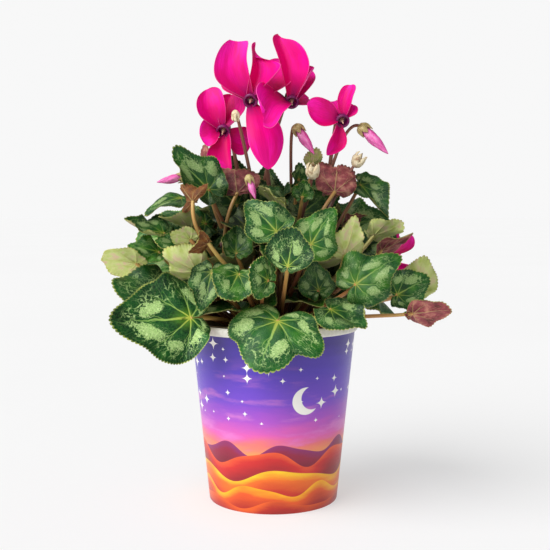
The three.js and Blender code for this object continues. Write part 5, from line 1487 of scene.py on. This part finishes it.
def petal_width(u, tip_way):
    """Half a sine from the base to 0.56 of the length, then an ellipse from 0.6 on that is squared for
    a flat tip and drawn to an angle for a pointed one."""
    base = 0.30 + 0.70 * np.sin(0.5 * np.pi * np.minimum(u, 0.56) / 0.56)
    rise = 2 + 2.2 * max(tip_way, 0) - 0.5 * max(-tip_way, 0)
    fall = 2 + 2.2 * max(tip_way, 0) - 0.85 * max(-tip_way, 0)
    left = np.maximum(0.0, 1 - ((np.maximum(u, 0.6) - 0.6) / 0.402) ** rise)
    return base * np.maximum(left, 0.004) ** (1 / fall)


def petal_shell(base, tip, face, width, cup, bow, twist, way, seed):
    """A strip that is rolled across by cup, turned by twist along its length and bowed by half a sine,
    with low ribs along it, small waves at its edges, and its own bow, breadth, crease and slant."""
    length_share, width_share, sway, drift, tip_way, breadth, crease, slant = way
    tip = base + (tip - base) * length_share
    width = width * width_share
    length = np.linalg.norm(tip - base)
    axes = frame_of(base, tip, face)
    u = 1 - (1 - np.linspace(0, 1, PETAL_ROWS)[:, None]) ** 1.35
    v = np.sin(0.5 * np.pi * np.linspace(-1, 1, PETAL_COLUMNS)[None, :])
    arch = np.sin(np.pi * u)
    half = 0.5 * width * petal_width(u, tip_way)
    radius = half / cup
    rib = 0.10 * np.cos(11 * v + 0.6 * np.sin(5 * u + seed)) * arch
    wave = 0.035 * width * v**2 * np.sin(9 * u * (1 + 0.2 * np.sin(seed)) + 2.1 * seed + 1.2 * v) * u
    trough = np.sqrt((v - CREASE_PLACE) ** 2 + 0.006) - 0.4
    bend = crease * half * trough * np.sqrt(np.clip(arch + 0.3 * u, 0, 1))
    faces = []
    for lift in (PETAL_SKIN / 2, -PETAL_SKIN / 2):
        raised = lift + rib + wave - 0.02 * width * np.exp(-((v / 0.10) ** 2)) * arch
        x = (radius - raised) * np.sin(cup * v)
        z = radius - (radius - raised) * np.cos(cup * v) + bend
        x = x * (1 + breadth * np.sign(v) * arch) + width * (sway * arch + drift * u**2)
        turn = twist * u
        x, z = x * np.cos(turn) - z * np.sin(turn), x * np.sin(turn) + z * np.cos(turn)
        z = z + bow * length * arch
        y = length * u * (1 + slant * v * u**2)
        faces.append(base + np.stack([x, y, z], axis=-1) @ axes)
    lie = np.stack([v + 0 * u, u + 0 * v, seed + 0 * u * v], axis=-1)
    return slab_shell(faces[0], faces[1], lie, (0, crease, seed), (1, crease, seed), 0)


def calyx_shell(place, axis, start, length, radii, depth, look, seed, crumple=0.0):
    """A cup of pointed sepals round an axis: radius follows the given radii along its length, and the
    length is cut back between the sepals by depth. Crumple adds a smooth random share to the radius."""
    u = np.linspace(0, 1, CALYX_ROWS)[:, None]
    bearing = 2 * np.pi * np.arange(CALYX_SIDES)[None, :] / CALYX_SIDES
    saw = np.abs(((bearing * SEPALS / (2 * np.pi)) % 1) * 2 - 1)
    reach = length * (1 - depth * (1 - saw**0.8))
    radius = np.interp(u[:, 0], np.linspace(0, 1, len(radii)), radii)[:, None]
    rough = np.stack([np.cos(bearing) + 0 * u, np.sin(bearing) + 0 * u, u * 3 + 0 * bearing + seed], axis=-1)
    radius = radius * (1 + 0.05 * np.cos(SEPALS * bearing) * u + crumple * lumps(rough, 0.5, 9) * u)
    faces = []
    for lift in (SEPAL_WALL, -SEPAL_WALL):
        away = np.maximum(radius + lift, 0.05)
        points = np.stack([away * np.cos(bearing), away * np.sin(bearing), start + reach * u], axis=-1)
        faces.append(aimed(points, place, axis))
    lie = np.stack([np.cos(bearing) + 0 * u, np.sin(bearing) + 0 * u, u + 0 * bearing], axis=-1)
    return slab_shell(faces[0], faces[1], lie, (0, 0, seed), (1, 0, seed), look, True)


MOUTH = [(0, -8), (2.2, -8.2), (3.4, -7.8), (4.1, -6), (4.7, -4), (5.2, -2), (5.3, -1.0), (5.1, -0.1),
         (4.6, 0.4), (4.0, 0.4), (3.6, 0.0), (3.4, -0.8), (3.2, -2.6), (2.6, -4.2), (0, -4.6)]
MOUTH_SIDES = 40
STYLE = [(0, -4.4), (1.5, -4.2), (1.4, -2.6), (1.0, -1.2), (0.55, 0.2), (0.42, 1.8), (0.5, 2.6), (0.36, 3.0),
         (0, 3.1)]
STYLE_SIDES = 16

petal_finish, tree, shader = finish("magenta_petal", 0.5, Specular_IOR_Level=0.16)
across, along, seed, _ = read(tree, "lie")
back_face, crease, _, _ = read(tree, "trait")
petal_place = combined(tree, across, along, seed)
vein_place = node(tree, "ShaderNodeMapping", {"Vector": petal_place, "Scale": (14.0, 1.2, 1.0)}).outputs[0]
fine_veins = grain(tree, vein_place, 1.6, 4)
cloudy = grain(tree, petal_place, 1.6, 3)
edge = fade(tree, maths(tree, "ABSOLUTE", across), 0.95, 1.0)
pink = ramp(tree, along, [
    (0.0, 90, 4, 72), (0.07, 152, 0, 90), (0.24, 214, 0, 116), (0.55, 244, 0, 150),
    (1.0, 252, 26, 178),
])
pink = blend(tree, fade(tree, cloudy, 0.40, 0.60, 0.0, 0.6), pink, paint(212, 0, 92))
pink = blend(tree, fade(tree, fine_veins, 0.46, 0.66, 0.0, 0.50), pink, paint(206, 0, 112))
# Painted shade: a deeper crimson on the folded side of each petal's crease
painted_crease_shade = times(tree, crease, fade(tree, across, 0.1, -0.5, 0.0, 0.8))
pink = blend(tree, painted_crease_shade, pink, paint(222, 0, 88))
# Painted highlight: the petals are lighter along their edges
pink = blend(tree, times(tree, edge, 0.4), pink, paint(250, 130, 190))
pink = blend(tree, times(tree, back_face, 0.25), pink, paint(226, 40, 140))
tree.links.new(pink, shader.inputs["Base Color"])
relief(tree, shader, fine_veins, 0.25, 0.0004)

mouth_finish, *_ = speckled(
    "purple_mouth", 0.4, 700, 3, [(0.3, 84, 6, 66), (0.7, 140, 20, 104)], 0.3, 0.0003)
style_finish, *_ = speckled(
    "cream_style", 0.5, 900, 3, [(0.3, 196, 132, 110), (0.7, 240, 208, 178)], 0.4, 0.0003)

flower_stalk_finish, tree, shader = finish("flower_stalk_skin", 0.42)
along = read(tree, "trait")[0]
streaks, flecks = marked(tree, 600.0)
warmth = stretch(tree, along, 0.35, streaks)
skin = ramp(tree, warmth, [(0.3, 196, 146, 96), (0.6, 164, 108, 84), (0.95, 132, 76, 70)])
skin = blend(tree, fade(tree, flecks, 0.58, 0.72, 0.0, 0.4), skin, paint(104, 54, 48))
# Painted shade: the flower stalks are painted darker towards the middle of the bush
tree.links.new(with_painted_shade(tree, skin, 0.22), shader.inputs["Base Color"])
relief(tree, shader, streaks, 0.3, 0.0004)

calyx_finish, tree, shader = finish("calyx_skin", 0.55)
lift = read(tree, "lie")[2]
speckle = grain(tree, own_place(tree), 420, 5)
leafy = ramp(tree, speckle, [(0.3, 132, 116, 62), (0.5, 186, 168, 108), (0.7, 216, 198, 148)])
leafy = blend(tree, fade(tree, lift, 0.5, 1.0, 0.0, 0.35), leafy, paint(150, 108, 80))
tree.links.new(leafy, shader.inputs["Base Color"])
relief(tree, shader, speckle, 0.4, 0.0005)

for number, (name, mouth, axis, petals) in enumerate(FLOWERS):
    stalk = stalks[name]
    centre = stalk.heading
    shells = []
    ways = PETAL_WAYS.get(name) or [PLAIN_WAY] * len(petals)
    for index, (tip, face, width, cup, bow, twist) in enumerate(petals):
        tip = np.array(tip, float)
        side = tip - centre
        side = unit(side - (side @ stalk.axis) * stalk.axis)
        base = centre + PETAL_SEAT[0] * side + PETAL_SEAT[1] * stalk.axis
        seed = len(petals) * number + index
        face = np.array(face, float)
        shells.append(petal_shell(base, tip, face, width, cup, bow, twist, ways[index], seed))
    shells.append(aimed_shell(turned(MOUTH, MOUTH_SIDES), centre, stalk.axis, 1))
    shells.append(aimed_shell(turned(STYLE, STYLE_SIDES), centre, stalk.axis, 2))
    bloom = piece(f"grown_{name}_petals", shells, [petal_finish, mouth_finish, style_finish])
    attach(bloom, "root")
    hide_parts(f"{name}_petals")
    tube = stalk.tubes[0]
    shells = [
        stalk_shell(tube.curve, tube.radii, 0, FLOWER_SEED + number, *HEAD_STALK_FACES),
        calyx_shell(centre, stalk.axis, *FLOWER_CALYX, FLOWER_CALYX_DEPTH, 1, number),
    ]
    stem = piece(f"grown_{name}_stalk", shells, [flower_stalk_finish, calyx_finish])
    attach(stem, "root")
    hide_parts(f"{name}_stalk")


# Buds
# Furled petals wound into a pink spindle that hangs from a hooked stalk, in a calyx of five sepals.
# They open into flowers like the others.
BUD_SIDES = 40
BUD_SEED = 80
BUD_CALYX_RADII = (0.42, 0.98, 1.16, 1.12, 1.05)
BUD_CALYX_DEPTH = 0.45
BUD_CALYX_SEED = 20
BUD_PROFILE = [(0, -0.1), (0.35, -0.07), (0.7, 0.04), (0.95, 0.2), (1.0, 0.34), (0.94, 0.48), (0.8, 0.6),
               (0.62, 0.72), (0.42, 0.83), (0.24, 0.92), (0.1, 0.98), (0, 1)]

bud_finish, tree, shader = finish("bud_petal", 0.5)
round_place = read(tree, "lie")[3]
fine = grain(tree, own_place(tree), 500, 4)
broad = grain(tree, round_place, 1.4, 3)
rose = ramp(tree, broad, [(0.3, 222, 66, 158), (0.55, 240, 116, 188), (0.75, 246, 172, 214)])
rose = blend(tree, fade(tree, fine, 0.5, 0.7, 0.0, 0.3), rose, paint(190, 40, 130))
tree.links.new(rose, shader.inputs["Base Color"])
relief(tree, shader, fine, 0.3, 0.0004)


def wound(radius, height, bearing):
    """Five low ridges wind round the spindle, one turn in five from end to end."""
    top = height.max()
    return radius * (0.95 + 0.07 * np.cos(5 * (bearing + 2.2 * height / top))), height


for number, (name, _, _, length, radius, _) in enumerate(BUDS):
    stalk = stalks[name]
    tube = stalk.tubes[0]
    spindle = [(r * radius, h * length) for r, h in BUD_PROFILE]
    shells = [
        aimed_shell(turned(spindle, BUD_SIDES, 0, wound), stalk.heading, stalk.axis, 0),
        calyx_shell(stalk.heading, stalk.axis, -0.18 * radius - 4.2, 4.2 + 1.2 * radius,
                    np.array(BUD_CALYX_RADII) * radius, BUD_CALYX_DEPTH, 1, BUD_CALYX_SEED + number),
        stalk_shell(tube.curve, tube.radii, 2, BUD_SEED + number, *HEAD_STALK_FACES),
    ]
    bud = piece(f"grown_{name}", shells, [bud_finish, calyx_finish, flower_stalk_finish])
    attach(bud, "root")
    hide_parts(name)


# Spent husks
# Where petals have dropped, the dry cream calyx stays on its stalk round a small seed capsule.
# It is papery, crumpled and open at the tip.
FULL_HUSK_RADIUS = 4.2
SMALL_HUSK_SHARE = 0.62
HUSK_RADII = (1.6, 3.8, 4.6, 4.5, 3.4)
HUSK_DEPTH = 0.4
HUSK_CRUMPLE = 0.16
HUSK_CALYX_SEED = 30
HUSK_SEED = 90
CAPSULE_SIDES = 24
CAPSULE = [(0, -2), (1.6, -1.8), (2.8, -0.4), (3.2, 1.4), (3.0, 3.2), (2.2, 4.6), (1.0, 5.4), (0, 5.6)]

husk_finish, *_ = speckled(
    "dry_husk", 0.75, 380, 5, [(0.3, 166, 132, 100), (0.48, 222, 206, 168), (0.7, 242, 230, 200)],
    0.7, 0.0006)

for number, (name, _, _, radius) in enumerate(SPENT):
    stalk = stalks[name]
    tube = stalk.tubes[0]
    size = radius / FULL_HUSK_RADIUS if radius > 4 else SMALL_HUSK_SHARE
    capsule = [(r * size, h) for r, h in CAPSULE]
    shells = [
        aimed_shell(turned(capsule, CAPSULE_SIDES), stalk.heading, stalk.axis, 0),
        calyx_shell(stalk.heading, stalk.axis, -3, 2.2 + 9.0 * size, np.array(HUSK_RADII) * size,
                    HUSK_DEPTH, 0, HUSK_CALYX_SEED + number, HUSK_CRUMPLE),
        stalk_shell(tube.curve, tube.radii, 1, HUSK_SEED + number, *HEAD_STALK_FACES),
    ]
    husk = piece(f"grown_{name}", shells, [husk_finish, flower_stalk_finish])
    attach(husk, "root")
    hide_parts(name)
